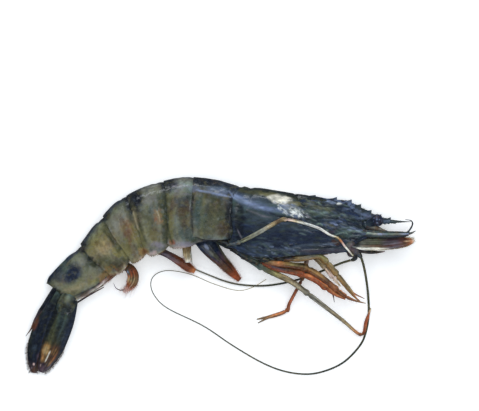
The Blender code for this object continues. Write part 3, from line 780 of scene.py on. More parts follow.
@dataclass
class Abdomen:
    """The six rings of the abdomen, each over the front of the next."""

    trunk: Trunk
    rows: int = 64
    cols: int = 150
    overlap: float = 0.2
    plate: float = 0.2
    turn_limit: float = 150.0
    lip: float = 0.2
    back_bulge: float = 0.3
    flap_bulge: float = 0.9
    tuck: float = 0.26
    front_rounding: float = 0.22
    rear_rounding: float = 0.13
    furrow: float = 0.22
    hinge: float = 0.45
    hinge_turn: float = 94.0
    fringe_count: int = 50
    tergites: tuple[Tergite, ...] = (
        Tergite(
            "tergite_1",
            (
                # The steel stop at 46 degrees is a painted highlight along the ring's upper flank
                (0, INK), (24, NAVY), (38, SLATE), (46, STEEL), (52, NAVY), (62, PINE), (80, OLIVE),
                (105, TEAL), (135, OLIVE), (146, TEAL), (150, SLATE),
            ),
            edge=(0.14, 0.17, 0.16),
            hem=(0.73, 0.66, 0.68),
        ),
        Tergite(
            "tergite_2",
            (
                (0, SLATE), (20, STONE), (42, MINT), (60, SAGE), (85, OLIVE), (112, TEAL), (135, SAGE),
                (146, LILAC), (150, ROSE),
            ),
            edge=(-0.04, -0.08, -0.02),
            hem=(0.94, 0.84, 0.82),
        ),
        Tergite(
            "tergite_3",
            (
                (0, SLATE), (22, STONE), (50, SAGE), (80, SAGE), (110, MOSS), (136, SAGE), (146, LILAC),
                (150, SAND),
            ),
            edge=(-0.04, -0.05, 0.0),
            hem=(0.98, 0.84, 0.88),
        ),
        Tergite(
            "tergite_4",
            (
                (0, NAVY), (18, SLATE), (36, SAGE), (62, STONE), (84, TAN), (104, MOSS), (135, MOSS),
                (150, TAN),
            ),
            edge=(-0.04, -0.02, -0.16),
            hem=(0.94, 0.84, 0.84),
            keel=0.4,
        ),
        Tergite(
            "tergite_5",
            (
                (0, NAVY), (16, SLATE), (32, SAGE), (56, MOSS), (84, TAN), (104, MOSS), (130, MOSS),
                (146, SAND), (150, ROSE),
            ),
            edge=(-0.05, 0.02, -0.04),
            hem=(0.95, 0.86, 0.86),
            keel=0.6,
        ),
        Tergite(
            "tergite_6",
            (
                # Rose to white at the hem is the pale rim below the ring, its white partly painted
                # highlight
                (0, NAVY), (20, SLATE), (32, SAGE), (70, STONE), (92, SAGE), (112, MOSS), (128, MOSS),
                (138, SAGE), (142, PLUM), (146, ROSE), (150, WHITE),
            ),
            edge=(0.0, -0.02, 0.0),
            hem=(0.97, 0.93, 0.96),
            keel=1.0,
            close=1.2,
        ),
    )
    streaks: tuple[Streak, ...] = (
        # The steel, sheen and lilac streaks along the backs of the first two rings are painted
        # highlights
        Streak(((-18, 8.8), (-11.7, 8.3), (-5.4, 7.4)), 0.45, 0.1, STEEL, 0.7),
        Streak(((-19.5, 6.9), (-14.5, 6), (-9, 4.9), (-4, 3.8)), 0.5, 0.15, SHEEN, 0.95),
        Streak(((-14, 4.4), (-9, 3.4), (-5, 2)), 0.4, 0, STEEL, 0.45),
        Streak(((-4.6, 6.4), (-3.2, 4.2), (-2.6, 2.4)), 0.5, 0, SHEEN, 0.7),
        Streak(((-30, 8.6), (-26, 9), (-21.5, 8.2)), 0.6, 0, LILAC, 0.6),
        Streak(((-29, 4.6), (-25, 5.2), (-21.5, 4.8)), 0.5, 0, LILAC, 0.4),
        Streak(((-20.6, 5), (-21.4, -3), (-20.8, -13)), 0.6, -0.1, INK, 0.7),
        Streak(((-33.6, 4), (-33.4, -3), (-32, -11), (-30, -17)), 0.8, 0, PINE, 0.75),
        Streak(((-47.6, -2.8), (-46.9, -6), (-45.4, -10.8)), 0.7, 0.1, SAND, 0.5),
        Streak(((-45.6, -4.8), (-44.4, -9.8), (-42.2, -16)), 0.8, 0, PINE, 0.7),
        Streak(((-62.4, -10), (-58, -15), (-53.4, -19)), 0.7, 0, PINE, 0.6),
        Streak(((-70, -20), (-67, -24), (-62, -28.6)), 0.8, 0, PINE, 0.7),
        Streak(((-37.4, -2.4), (-36.2, -4.4), (-35.6, -7.4)), 0.34, 0.05, SAND, 0.6),
        Streak(((-34.8, -1.6), (-33.8, -3.4)), 0.3, 0.05, STONE, 0.7),
        Streak(((-79, -38), (-75, -37.6), (-70, -35.4)), 1.2, 0, SAND, 0.4),
        Streak(((-77, -41.8), (-71, -39.4), (-66, -37), (-61.6, -34.6)), 0.5, -0.1, INK, 0.85),
    )
    mottling: tuple[tuple[Pigment, float, float, float, float], ...] = (
        (TEAL, 9, -0.1, 0.55, 0), (STONE, 6, 0, 0.5, 31), (OLIVE, 7, 0, 0.7, 67),
        (BROWN, 6, 0.12, 0.5, 101), (SLATE, 4, 0.15, 0.4, 143),
    )
    stains: tuple[Stain, ...] = (
        # The haze and lilac stains on the backs of the first two rings are painted highlights
        Stain(-9, 6.2, 5.4, 1.8, -12, HAZE, 0.55, 0.9, 1.6),
        Stain(-27.5, 8.4, 3.2, 2.4, 0, LILAC, 0.5, 0.9, 1.6),
        Stain(-21, 7.4, 3, 2, 0, HAZE, 0.4, 0.9, 1.6), Stain(-15.3, 11, 6.5, 2.8, -8, INK, 0.75),
        Stain(-8, -5, 2.4, 10, 0, PINE, 0.7, 0.7, 2), Stain(-4.4, -5, 2.2, 12, 0, INK, 0.85, 0.6, 1.6),
        Stain(-11.5, -4.5, 3.4, 8, 4, OLIVE, 0.7, 0.9, 2),
        Stain(-8, -11, 3, 3.5, 0, BROWN, 0.45, 0.9, 2), Stain(-17.6, -3, 2.6, 9, 2, TEAL, 0.6, 0.7),
        Stain(-14.6, 2, 2, 1.6, 20, STONE, 0.5, 0.9, 1.5), Stain(-32.4, 9.2, 5, 3.6, 10, INK, 0.95),
        Stain(-47.8, 2.8, 5, 6.6, 24, INK, 1, 0.3), Stain(-48.4, 2, 3.2, 4.6, 24, INK, 1, 0.2),
        Stain(-61.2, -4.6, 3.6, 3.4, 40, INK, 0.9), Stain(-71, -18.7, 3.6, 3.4, 45, INK, 0.85),
        Stain(-75.2, -30.6, 5.2, 3.8, 62, NAVY, 0.95, 0.35, 2.4),
        Stain(-79.6, -27.6, 3.4, 3.6, 50, TEAL, 0.8, 0.6, 2.4),
        Stain(-67, -24, 1.6, 1.3, 20, INK, 0.75, 0.6, 1.5), Stain(-82, -31, 3.4, 4.6, 40, NAVY, 0.7),
        Stain(-49.6, -12, 2.8, 4.2, 14, RUST, 0.55, 1.1, 1.4),
        Stain(-52.5, -8, 1.4, 3.4, 20, BROWN, 0.45, 0.9, 1.6),
        Stain(-36.4, -5, 2, 3.8, 5, HONEY, 0.5, 1.2, 1),
        Stain(-37.4, -6, 1, 0.8, 0, EMBER, 0.35, 0.9, 0.8),
        Stain(-34.8, -6.8, 0.9, 0.7, 0, ORANGE, 0.28, 0.9, 0.8),
        Stain(-75.2, -30.6, 3, 2.4, 62, NAVY, 0.85, 0.2),
        Stain(-43, -20.6, 2.8, 2, 10, HONEY, 0.75, 0.7, 1.6),
        Stain(-42.6, -20.9, 1.5, 1.2, 10, RUST, 0.6, 0.9, 1.2),
        Stain(-45.5, -14, 3, 6, 15, MOSS, 0.55, 0.9, 1.6),
        Stain(-38, -14, 3.2, 4, 0, MOSS, 0.45, 0.9, 1.6),
        Stain(-52.5, -17.5, 3.6, 3, 30, MOSS, 0.5, 0.9, 1.6),
        Stain(-54.5, -28, 3.6, 1.3, 30, BROWN, 0.7, 0.8, 1.6),
        Stain(-30.4, -16.6, 1.6, 1.4, 10, EMBER, 0.7, 0.6, 1.5),
        Stain(-51.5, -21.5, 4, 2.4, 35, MOSS, 0.8),
        Stain(-24.5, -1.5, 3.2, 4.4, 5, BROWN, 0.5, 0.9, 1.8), Stain(-24, -13, 4, 3, 0, TEAL, 0.6, 0.7),
        Stain(-36, -17.6, 3.4, 1.4, -8, LILAC, 0.7, 0.6, 1.8),
        Stain(-24, -17.4, 4.2, 1.3, -4, LILAC, 0.65, 0.6, 1.8),
        Stain(-41, -22.4, 4, 1.1, 25, ROSE, 0.5, 0.6, 1.8), Stain(-55, -26, 6, 2, 38, PINE, 0.6, 0.8, 2),
        Stain(-60.4, -30.8, 5, 2, 42, HONEY, 0.6, 1.2, 1.2),
        Stain(-58, -32.4, 4, 1.4, 42, RUST, 0.6, 1, 1.2),
        Stain(-64, -26, 3, 1.8, 40, PINE, 0.7, 0.6, 1.8),
        Stain(-19, 4.4, 2.4, 1, 25, STONE, 0.5, 1.2, 1),
        Stain(-26, 1.6, 3, 2.6, 0, SLATE, 0.5, 0.9, 1.6),
        Stain(-40, 3, 3.6, 2.4, 15, LILAC, 0.35, 0.9, 1.6),
        Stain(-30.6, -8, 1.6, 8, 0, MOSS, 0.5, 0.9, 1.6),
        Stain(-54, -13, 2, 5, 20, STONE, 0.5, 0.9, 1.4),
        Stain(-66, -31, 5, 3, 45, STONE, 0.45, 0.9, 1.6),
    )

    def plate_points(self, index: int, tergite: Tergite) -> tuple[Array, Array, Array]:
        """Work out one ring's surface.

        Args:
            index: The ring's number from the front.
            tergite: The ring.

        Returns:
            Its grid of points, and the share along the ring and degrees from the back at each.
        """
        turns = np.linspace(-self.turn_limit, self.turn_limit, self.cols)[None]
        past = np.interp(np.abs(turns), (0, 80, self.turn_limit), tergite.edge)
        front = -self.overlap
        along = front + (1 + past - front) * np.linspace(0, 1, self.rows)[:, None]
        middle, front_corner, rear_corner = tergite.hem
        depth = middle - (middle - front_corner) * hump(along, front, self.front_rounding)
        depth = depth - (middle - rear_corner) * hump(along, 1.0, self.rear_rounding)
        flap = np.where(np.abs(turns) > 90, 90 + (np.abs(turns) - 90) * depth, np.abs(turns))
        arch = np.sin(np.pi * np.clip(along, 0, 1))
        below = soft_step(60, 110, np.abs(turns))
        bulge = self.back_bulge + (self.flap_bulge - self.back_bulge) * below
        grow = self.lip * np.clip(along, 0, 1) + bulge * arch
        grow = grow - self.tuck * (1 - soft_step(-0.06, 0.05, along))
        grow = grow - tergite.close * soft_step(0.82, 1.0, along) ** 2
        spots = self.trunk.waist - index - along
        points = self.trunk.surface(spots, np.sign(turns) * flap, grow, Profile.PLATE)
        return points, *(np.broadcast_to(values, points.shape[:2]) for values in (along, turns))

    def relief(self, points: Array, along: Array, turns: Array, keel: float) -> Array:
        """Return the height of the ring's ridge, furrow, rim and lumps."""
        around = np.abs(turns)
        height = keel * np.exp(-((turns / 5.0) ** 2)) * soft_step(0.05, 0.4, along)
        height = height - self.furrow * hump(along, 0.16, 0.05) * (1 - soft_step(100, 135, around))
        height = height + 0.08 * soft_step(0.93, 1.0, along) + 0.2 * soft_step(143, 150, around)
        height = height + self.hinge * hump(along, 0.98, 0.05) * hump(around, self.hinge_turn, 5.0)
        height = height - 0.3 * hump(along, 0.9, 0.03) * hump(around, self.hinge_turn, 8.0)
        lumps = NOISE.layered(points, 5.0) * 0.16 + NOISE(points, 1.1) * 0.05
        return height + lumps * soft_step(-0.1, 0.1, along)

    def colours(self, points: Array, along: Array, turns: Array, tergite: Tergite) -> Array:
        """Return the ring's paint."""
        around = np.abs(turns)
        paint = ramp(tergite.colours, around + 6 * NOISE.layered(points, 4.0))
        side = soft_step(36, 60, around)
        for pigment, size, low, share, offset in self.mottling:
            flat = (along * 16 + offset, around * 0.16, 0 * along + len(tergite.name))
            cloud = NOISE.layered(np.stack(flat, axis=-1) + points * 0.15, size)
            if pigment in (TEAL, SLATE):
                cloud = cloud - 0.5 * soft_step(-34, -50, points[..., 0])
            paint = laid(paint, pigment, share * soft_step(low, low + 0.4, cloud) * side)
        bands = NOISE(np.stack([along * 15, around * 0.12, 0 * along], axis=-1), (1.5, 4.0, 1.0))
        clouds = 0.34 * NOISE.layered(points, 3.4) + 0.24 * NOISE(points, 0.8)
        paint = paint * (1 + 0.2 * bands + clouds)[..., None]
        shadow = 1 - soft_step(0.0, 0.3, along + 0.1 * NOISE(points, 3.0))
        paint = laid(paint, PINE, 0.75 * shadow * soft_step(20, 50, around))
        paint = stained(points, paint, self.stains)
        rim = soft_step(0.93, 0.965, along / along.max(axis=0)) * (1 - soft_step(128, 146, around))
        paint = laid(paint, PINE, rim * (0.3 + 1.2 * NOISE(points, 4.0)))
        pale = hump(along, 0.86, 0.06) * soft_step(30, 60, around) * 0.3
        return laid(paint, MOSS, pale)

    def build(self, shop: Workshop) -> None:
        """Make the rings."""
        for index, tergite in enumerate(self.tergites):
            points, along, turns = self.plate_points(index, tergite)
            height = self.relief(points, along, turns, tergite.keel)
            paint = self.colours(points, along, turns, tergite)
            height, paint = streaked(points, height, paint, self.streaks)
            shaped = raised(points, height)
            skin = Skin()
            skin.add(shaped, paint)
            shop.piece(tergite.name, skin, SHELL, self.plate)
            if index:
                self.fringe(shop, tergite.name, shaped)

    def fringe(self, shop: Workshop, name: str, shaped: Array) -> None:
        """Make the short bristles along both hems of a ring."""
        rng = np.random.default_rng(len(name) + round(abs(shaped[0, 0, 0])))
        skin = Skin()
        for edge, inner in ((shaped[:, 0], shaped[:, 3]), (shaped[:, -1], shaped[:, -4])):
            rows = rng.integers(14, len(edge), self.fringe_count)
            ways = unit(edge[rows] - inner[rows]) + rng.normal(0, 0.3, (self.fringe_count, 3))
            lengths = rng.uniform(0.4, 1.1, self.fringe_count)
            skin.hairs(edge[rows], ways + np.array((-0.5, 0.0, 0.0)), lengths, 0.05, HONEY.linear)
        shop.piece(f"{name}_fringe", skin, HAIR)


@dataclass(frozen=True)
class BellyRim:
    """The pale rim below the last ring of the abdomen, with a painted highlight near its rear end and a
    dark strand below it as painted shadow.
    """

    route: Rows = (
        (-61.4, -35.8, 9, 0.35), (-68.4, -39.6, 8.6, 0.7), (-73, -42.4, 8.2, 0.75), (-76, -43.9, 8, 0.5),
    )

    def build(self, shop: Workshop) -> None:
        """Make the rim, and the dark strand below it that is painted shadow."""
        # Rose is the rim's own pale colour; the white near its rear end is painted highlight
        colours = ((0, BROWN), (0.2, ROSE), (0.6, ROSE), (0.9, WHITE), (1, PLUM))
        Limb("belly_rim", self.route, colours).build(shop)
        # A dark strand just below the rim is painted shadow
        below = tuple((x + 0.35, y - 0.95, z - 0.2, r * 0.6) for x, y, z, r in self.route)
        Limb("belly_rim_fold", below, ((0, BROWN), (0.3, PLUM), (1, INK))).build(shop)


@dataclass
class Carapace:
    """The shield over the head and chest, with its grooves, rims and stains."""

    trunk: Trunk
    rows: int = 190
    cols: int = 170
    plate: float = 0.4
    turn_limit: float = 150.0
    lip: float = 0.7
    rim: float = 0.2
    rim_groove: float = 0.15
    crumple: Stain = Stain(25.0, -2.6, 9.0, 4.0, -14, WHITE, 1.0, 0.3)
    crumple_height: float = 0.35
    fleck_seed: int = 21
    rear: Rows = ((0, -0.02), (35, -0.22), (55, -0.27), (92, -0.2), (120, 0.02), (150, -0.05))
    front: Rows = (
        (0, 7.35), (22, 7.2), (42, 6.65), (62, 6.75), (84, 7.3), (105, 7.1), (125, 6.5), (150, 5.9),
    )
    hem: Rows = ((-5, 0.97), (10, 0.955), (21, 0.905), (27, 0.89), (35, 0.91), (45, 0.94), (52, 0.95))
    streaks: tuple[Streak, ...] = (
        Streak(((25, 5), (29, 0.5), (33, -4), (38, -7.6)), 1.1, -0.7),
        Streak(((38, -7.6), (43, -10.4), (47, -14.6)), 0.9, -0.6),
        Streak(((3, -3.4), (14, -4.6), (24, -6.6), (33, -9.6)), 0.8, -0.3),
        Streak(((-1, -16.8), (8, -20), (22, -20.6), (36, -20), (47, -19.2)), 0.6, -0.4),
        Streak(
            ((2.2, 7.2), (9.9, 7.2), (18, 6.2), (27, 4.4), (34.2, 3.8), (42.7, 2.3)), 0.7, 0, INK, 0.9,
        ),
        Streak(((3.6, -0.2), (9.9, -2.5), (14.4, -3.8), (20, -5.2)), 0.8, -0.2, NAVY, 0.8),
        # The sheen and haze streaks are a painted highlight along the upper flank
        Streak(((-3.6, 3.8), (0, 2.3), (4.5, 0.7), (9.9, -0.9), (15.3, -2.2)), 0.75, 0.2, SHEEN, 0.95),
        Streak(((-3.6, 5.6), (0.5, 3), (4.5, 1.2), (10.8, -0.7), (19, -2.8)), 2, 0, HAZE, 0.98),
        Streak(((-2.6, 4.6), (2, 2), (6, 0.3), (10.4, -1.2)), 1.2, 0, SHEEN, 0.5),
        Streak(((3.2, -1.9), (7.2, -3.4), (10.8, -4.7), (14.4, -5.4)), 0.5, 0.15, LILAC, 0.55),
        Streak(((22.9, -9.4), (25.6, -10.6), (29.7, -11), (35.1, -11.2)), 0.45, 0.1, STEEL, 0.55),
        Streak(
            ((20.2, -20), (24.7, -18.7), (29.2, -17.8), (36, -17.5), (43.6, -16.9)), 0.6, 0.3, STEEL,
            0.75,
        ),
        Streak(((6.8, -19.8), (15.7, -19.4), (20, -19.9)), 0.35, 0.12, STEEL, 0.4),
        Streak(((27, -20.5), (36, -20.4), (47, -20)), 1, 0, PLUM, 0.55),
        Streak(((42.8, -13.3), (47.2, -11.9), (51.8, -11.5), (57.6, -12.3)), 0.5, 0.35, MINT, 0.7),
        Streak(((45, -10.6), (50.4, -9.7)), 0.6, 0.2, MINT, 0.45),
        Streak(((49, -14.2), (56, -13.6)), 0.5, 0.2, TEAL, 0.6),
        Streak(((36.9, -7.9), (40.5, -6.4), (44.1, -7.4)), 0.5, 0.4, STEEL, 0.7),
        # Painted highlights on the back of the head
        Streak(((39.6, 1.9), (43.2, 1.1)), 0.8, 0.1, SHEEN, 0.8),
        Streak(((43.9, 0.7), (46.2, 0.8)), 0.4, 0.1, WHITE, 0.95),
        Streak(((45, 1.6), (50.4, 0), (54.9, -1.8), (58.9, -4)), 0.45, 0.2, STEEL, 0.65),
        Streak(((29.2, 1.1), (36, -0.7), (42.7, -1.6)), 0.6, 0.2, SAGE, 0.6),
        Streak(((36, -3.4), (40.5, -2.9)), 0.5, 0.15, MINT, 0.6),
        Streak(((29.2, -1.1), (35.1, -3.4), (40.5, -4.7)), 0.45, 0.15, MINT, 0.4),
        Streak(((45, -3.8), (50.4, -4.5), (54.9, -6.1), (57.6, -7.6)), 0.4, 0.2, STEEL, 0.45),
        Streak(((13.5, -3.2), (20.2, -5.2), (29.2, -6.3), (36, -7.4)), 0.7, -0.3, INK, 0.85),
        Streak(
            ((29.2, -6.1), (38.2, -5.2), (47.2, -5.6), (54, -7), (58.5, -8.3)), 0.7, -0.45, INK, 0.85,
        ),
        Streak(((50.4, -1.8), (54.9, -3.4), (58.5, -5.6)), 0.5, -0.3, INK, 0.7),
        Streak(((27, 2.7), (32.4, 1.1), (38.2, 0), (45, -0.7), (52, -3.4)), 0.5, -0.5, NAVY, 0.75),
        Streak(((36, -19.1), (40.5, -18.5), (46.4, -18.9)), 0.5, -0.2, INK, 0.9),
        Streak(((38, -12.4), (41.4, -11.9), (43.6, -10.1)), 0.8, -0.2, PLUM, 0.5),
        Streak(((49.5, -14.9), (52.2, -15.1), (54.9, -17.8), (54.5, -20.5)), 0.7, -0.2, INK, 0.85),
        Streak(((45, -13.7), (49.5, -15.5)), 0.7, -0.2, PINE, 0.7),
        Streak(((18, -13), (30, -13.6), (40, -14.4)), 0.9, 0, NAVY, 0.6),
        Streak(((-1, -10.6), (0.2, -13.2), (1.6, -15.4)), 0.35, 0.1, LILAC, 0.6),
    )
    stains: tuple[Stain, ...] = (
        Stain(7, 5.9, 7, 1.5, -6, OLIVE, 0.8, 0.5), Stain(13, 5, 5, 1.2, -8, MOSS, 0.6, 0.6),
        Stain(9, 3.4, 10, 1.2, -12, SLATE, 0.5, 0.4), Stain(18.2, 3, 5.6, 2.2, -6, CREAM, 0.95, 0.4, 2),
        Stain(19, 1.2, 3.4, 1, -25, CREAM, 0.8, 0.5, 1.6),
        Stain(25.6, 0.9, 4, 1, -10, MOSS, 0.7, 0.6, 1.6),
        # The steel, sheen, stone and white stains over the crumpled patch are painted glints
        Stain(24.4, -2.6, 6.4, 2.6, -20, STEEL, 0.6, 0.6, 1.6),
        Stain(24, -2.4, 7, 2.6, -20, SHEEN, 0.5, 1, 1.4),
        Stain(24, -2, 6, 2.2, -20, STONE, 0.6, 1.6, 0.7),
        Stain(25.6, -3.2, 2.8, 1.4, -20, WHITE, 0.68, 2.2, 0.6),
        Stain(18.2, -1.6, 1.7, 0.8, -50, WHITE, 0.8, 1.6, 0.6),
        Stain(20.4, -2.9, 1.6, 0.8, -20, WHITE, 0.5, 1.8, 0.6),
        Stain(30.6, -5, 2.8, 0.7, -20, LILAC, 0.8, 0.8, 1),
        Stain(36, -0.6, 9, 2, -12, MOSS, 0.45, 0.9, 1.8), Stain(32, -3, 7, 1.4, -14, SAGE, 0.4, 1, 1.6),
        Stain(47, -2, 9, 2.6, -14, NAVY, 0.8, 0.5), Stain(45, -7.5, 10, 2.4, -8, NAVY, 0.8, 0.6, 2),
        Stain(51, -3.4, 6, 2, -20, COBALT, 0.5, 0.8, 1.6),
        Stain(38, -8, 5, 1.6, -10, COBALT, 0.45, 0.8, 1.6),
        Stain(53.5, -9.5, 4.2, 2.2, -5, NAVY, 0.85, 0.4, 2),
        Stain(41, -9, 3.2, 1.4, -20, MOSS, 0.4, 0.9, 1.6),
        Stain(47.4, -12.6, 5, 2.2, -10, TEAL, 0.8, 0.5, 2),
        # The brown stain below the joint of leg 5 is painted shadow
        Stain(43.4, -16.6, 2.2, 1.3, -35, BROWN, 0.7, 0.5, 1.6),
        Stain(0, -7, 2.6, 10, 0, INK, 0.85, 0.3), Stain(-3.6, -7, 0.8, 8.5, -2, INK, 0.8, 0.2),
        Stain(10, -11, 6, 3, -10, SLATE, 0.4, 0.6), Stain(33, -13, 10, 3, -2, NAVY, 0.6, 0.5),
    )

    def flecks(self) -> list[Streak]:
        """Return short seeded wrinkles and glints on the head and faint ones on the flank."""
        rng = np.random.default_rng(self.fleck_seed)
        kinds = (
            (180, (28, 59), (-13, 4.5), (1.2, 3.6), 0.95, -13),
            (80, (-3, 27), (-24, -16.8), (1.4, 4.2), 0.6, -20),
            (36, (2, 46), (-19, -7), (2.5, 6), 0.4, -3),
        )
        pigments = (INK, INK, COBALT, STEEL, HAZE, INK, MINT, COBALT, SHEEN)
        found = []
        for count, across, up, lengths, share, slope in kinds:
            for number in range(count):
                x, y, reach = rng.uniform(*across), rng.uniform(*up), rng.uniform(*lengths) / 2
                turn = math.radians(slope + rng.normal(0, 9))
                dx, dy, bend = math.cos(turn) * reach, math.sin(turn) * reach, rng.normal(0, 0.25)
                line = ((x - dx, y - dy), (x, y + bend), (x + dx, y + dy))
                pigment = pigments[number % len(pigments)]
                height = -0.24 if pigment in (INK, NAVY) else 0.16
                width, strength = rng.uniform(0.22, 0.45), share * rng.uniform(0.5, 1.1)
                found.append(Streak(line, width, height, pigment, strength))
        return found

    def build(self, shop: Workshop) -> Array:
        """Make the carapace and return its outer surface."""
        turns = np.linspace(-self.turn_limit, self.turn_limit, self.cols)[None]
        around = np.abs(turns)
        rear = self.trunk.waist + np.interp(around, *zip(*self.rear))
        front = self.trunk.waist + np.interp(around, *zip(*self.front))
        share = np.linspace(0, 1, self.rows)[:, None]
        spots = rear + (front - rear) * share
        grow = self.lip * (0.3 + 0.4 * (1 - soft_step(0.0, 0.1, share)))
        places = np.interp(spots, np.arange(len(self.trunk.rows)), self.trunk.rows[:, 0])
        flap = 90 + (around - 90) * np.interp(places, *zip(*self.hem))
        flap = np.sign(turns) * np.where(around > 90, flap, around)
        points = self.trunk.surface(spots, flap, grow, Profile.PLATE)
        edge = np.minimum(np.minimum(share, 1 - share) * 60, (self.turn_limit - around) * 0.5)
        height = self.rim * (1 - soft_step(0.4, 1.5, edge)) - self.rim_groove * hump(edge, 2.2, 0.7)
        crumples = NOISE(points, (2.0, 0.9, 1.2)) * self.crumple_height
        height = height + crumples * self.crumple.cover(points)
        lengthwise = NOISE(points, (9.0, 1.1, 2.0))
        height = height + lengthwise * 0.1 + NOISE.layered(points, 5.0) * 0.2
        base = ramp(
            (
                (0, INK), (12, PINE), (30, PINE), (48, SLATE), (66, TEAL), (84, SLATE), (105, NAVY),
                (132, NAVY), (140, SLATE), (150, NAVY),
            ),
            np.broadcast_to(around, points.shape[:2]) + 6 * NOISE.layered(points, 5.0),
        )
        base = base * (1 + 0.3 * lengthwise + 0.25 * NOISE(points, (4.0, 0.5, 1.0)))[..., None]
        paint = stained(points, base, self.stains)
        height, paint = streaked(points, height, paint, (*self.flecks(), *self.streaks))
        shaped = raised(points, height)
        skin = Skin()
        skin.add(shaped, paint)
        shop.piece("carapace", skin, HEAD_SHELL, self.plate)
        return shaped


# Head


class Side(Enum):
    """The prawn's two sides, each with its sense across the head's middle plane."""

    RIGHT = 1
    LEFT = -1

    @property
    def label(self) -> str:
        """The side as the names of pieces end with it."""
        return self.name.lower()


def mirrored(rows: Rows, side: Side) -> Rows:
    """Return rows of x, y, z and size, mirrored in the head's plane for the left side."""
    return tuple((x, y, HEAD_PLANE + side.value * (z - HEAD_PLANE), size) for x, y, z, size in rows)


def lowered(rows: Rows, side: Side, drop: float) -> Rows:
    """Return rows of x, y, z and size, by a share nearer the surface below for the left side."""
    if side is Side.RIGHT:
        return rows
    return tuple((x, y, max(z * (1 - drop), LOWEST), size) for x, y, z, size in rows)


@dataclass
class Rostrum:
    """The toothed blade over the eyes, which runs back as a ridge.

    The crest is a row of (x, y, how far the point leans forward), with a tooth's tip wherever it leans.
    """

    crest: Rows = (
        (20, 5.5, 0), (24.3, 5.15, 0), (31.5, 4.45, 0), (33.9, 4.75, 0.4), (34.4, 4.15, 0),
        (39.5, 3.15, 0), (41.6, 3.2, 0), (43.4, 3.9, 0.5), (43.9, 2.7, 0), (48.4, 2.25, 0),
        (50.1, 2.6, 0.5), (50.5, 1.2, 0), (53.2, 0.25, 0), (54.3, 0.6, 0.5), (54.7, -0.9, 0),
        (57.6, -2.2, 0), (59, -2.1, 0.5), (59.4, -3.5, 0), (62, -4.3, 0), (63.4, -3.95, 0.5),
        (63.8, -5.3, 0), (66.4, -5.8, 0), (67.7, -5.3, 0.5), (68.1, -6.3, 0), (72.5, -6.9, 0),
        (77.2, -7.2, 0),
    )
    keel: Rows = (
        (20, 1), (34, -0.6), (46, -3.6), (56, -6.8), (63, -8.2), (64.6, -8.2), (65.6, -8.6), (66, -8.1),
        (67.3, -8.4), (67.8, -8), (70.2, -8.2), (70.7, -7.8), (77.2, -7.4),
    )
    spacing: float = 0.22
    thickness: float = 1.3
    rib: float = 0.45
    half_columns: int = 16
    bristle_count: int = 150
    bristle_seed: int = 3

    def build(self, shop: Workshop) -> None:
        """Make the blade as a closed grid of both faces."""
        crest = np.array(self.crest)
        run = np.concatenate([[0], np.cumsum(np.hypot(*np.diff(crest[:, :2], axis=0).T))])
        wanted = np.union1d(run, np.arange(0, run[-1], self.spacing))
        x, top, lean = (np.interp(wanted, run, column)[:, None] for column in crest.T)
        low = np.interp(x, *zip(*self.keel))
        climb = np.linspace(0, 1, self.half_columns)
        share = np.concatenate([climb, np.linspace(1, 0, self.half_columns)[1:-1]])[None]
        side = np.where(np.arange(share.size) < self.half_columns, 1, -1)[None]
        taper = (1 - soft_step(64, 77.2, x)) * 0.75 + 0.25
        half = self.thickness / 2 * taper * (1.0 - 0.72 * share**1.5)
        half = half * (0.35 + 0.65 * soft_step(0, 0.15, share))
        half = half + self.rib * hump(share, 0.42, 0.1) * taper
        forward = x + lean * soft_step(0.7, 1.0, share)
        places = (forward, low + (top - low) * share, HEAD_PLANE + side * half)
        points = np.stack(np.broadcast_arrays(*places), axis=-1)
        paint = ramp(((0, SLATE), (0.3, STEEL), (0.5, HAZE), (0.7, SLATE), (1, NAVY)), share)
        paint = np.broadcast_to(paint, points.shape)
        paint = laid(paint, PLUM, 0.4 * soft_step(0.0, 0.7, NOISE.layered(points, 2.4)))
        rear = 1 - 0.5 * soft_step(50, 56, points[..., 0])
        paint = laid(paint, HAZE, 0.9 * rear * soft_step(-0.1, 0.4, NOISE(points, (1.6, 0.6, 1.0))))
        paint = laid(paint, INK, 0.7 * soft_step(0.1, 0.45, NOISE(points + 7.0, (1.3, 0.45, 1.0))))
        paint = laid(paint, PINE, 0.7 * soft_step(66, 70, points[..., 0]))
        paint = laid(paint, STONE, 0.6 * soft_step(72, 77, points[..., 0]))
        shop.closed("rostrum", points, paint, HEAD_SHELL)
        self.brush(shop)

    def brush(self, shop: Workshop) -> None:
        """Make the short bristles between the teeth and below the blade."""
        rng = np.random.default_rng(self.bristle_seed)
        count = self.bristle_count
        x = rng.uniform(45, 73, count)
        above = rng.random(count) < 0.55
        crest = np.array(self.crest)
        top = np.interp(x, crest[:, 0], crest[:, 1])
        y = np.where(above, top - 0.2, np.interp(x, *zip(*self.keel)) + 0.2)
        roots = np.stack([x, y, HEAD_PLANE + rng.uniform(-0.3, 0.3, count)], axis=-1)
        lean = np.where(above, 0.8, -0.8)
        ways = np.stack([np.full(count, 0.9), lean, rng.uniform(-0.3, 0.3, count)], axis=-1)
        skin = Skin()
        skin.hairs(roots, ways, rng.uniform(0.5, 1.2, count), 0.06, STONE.linear)
        shop.piece("rostrum_bristles", skin, HAIR)


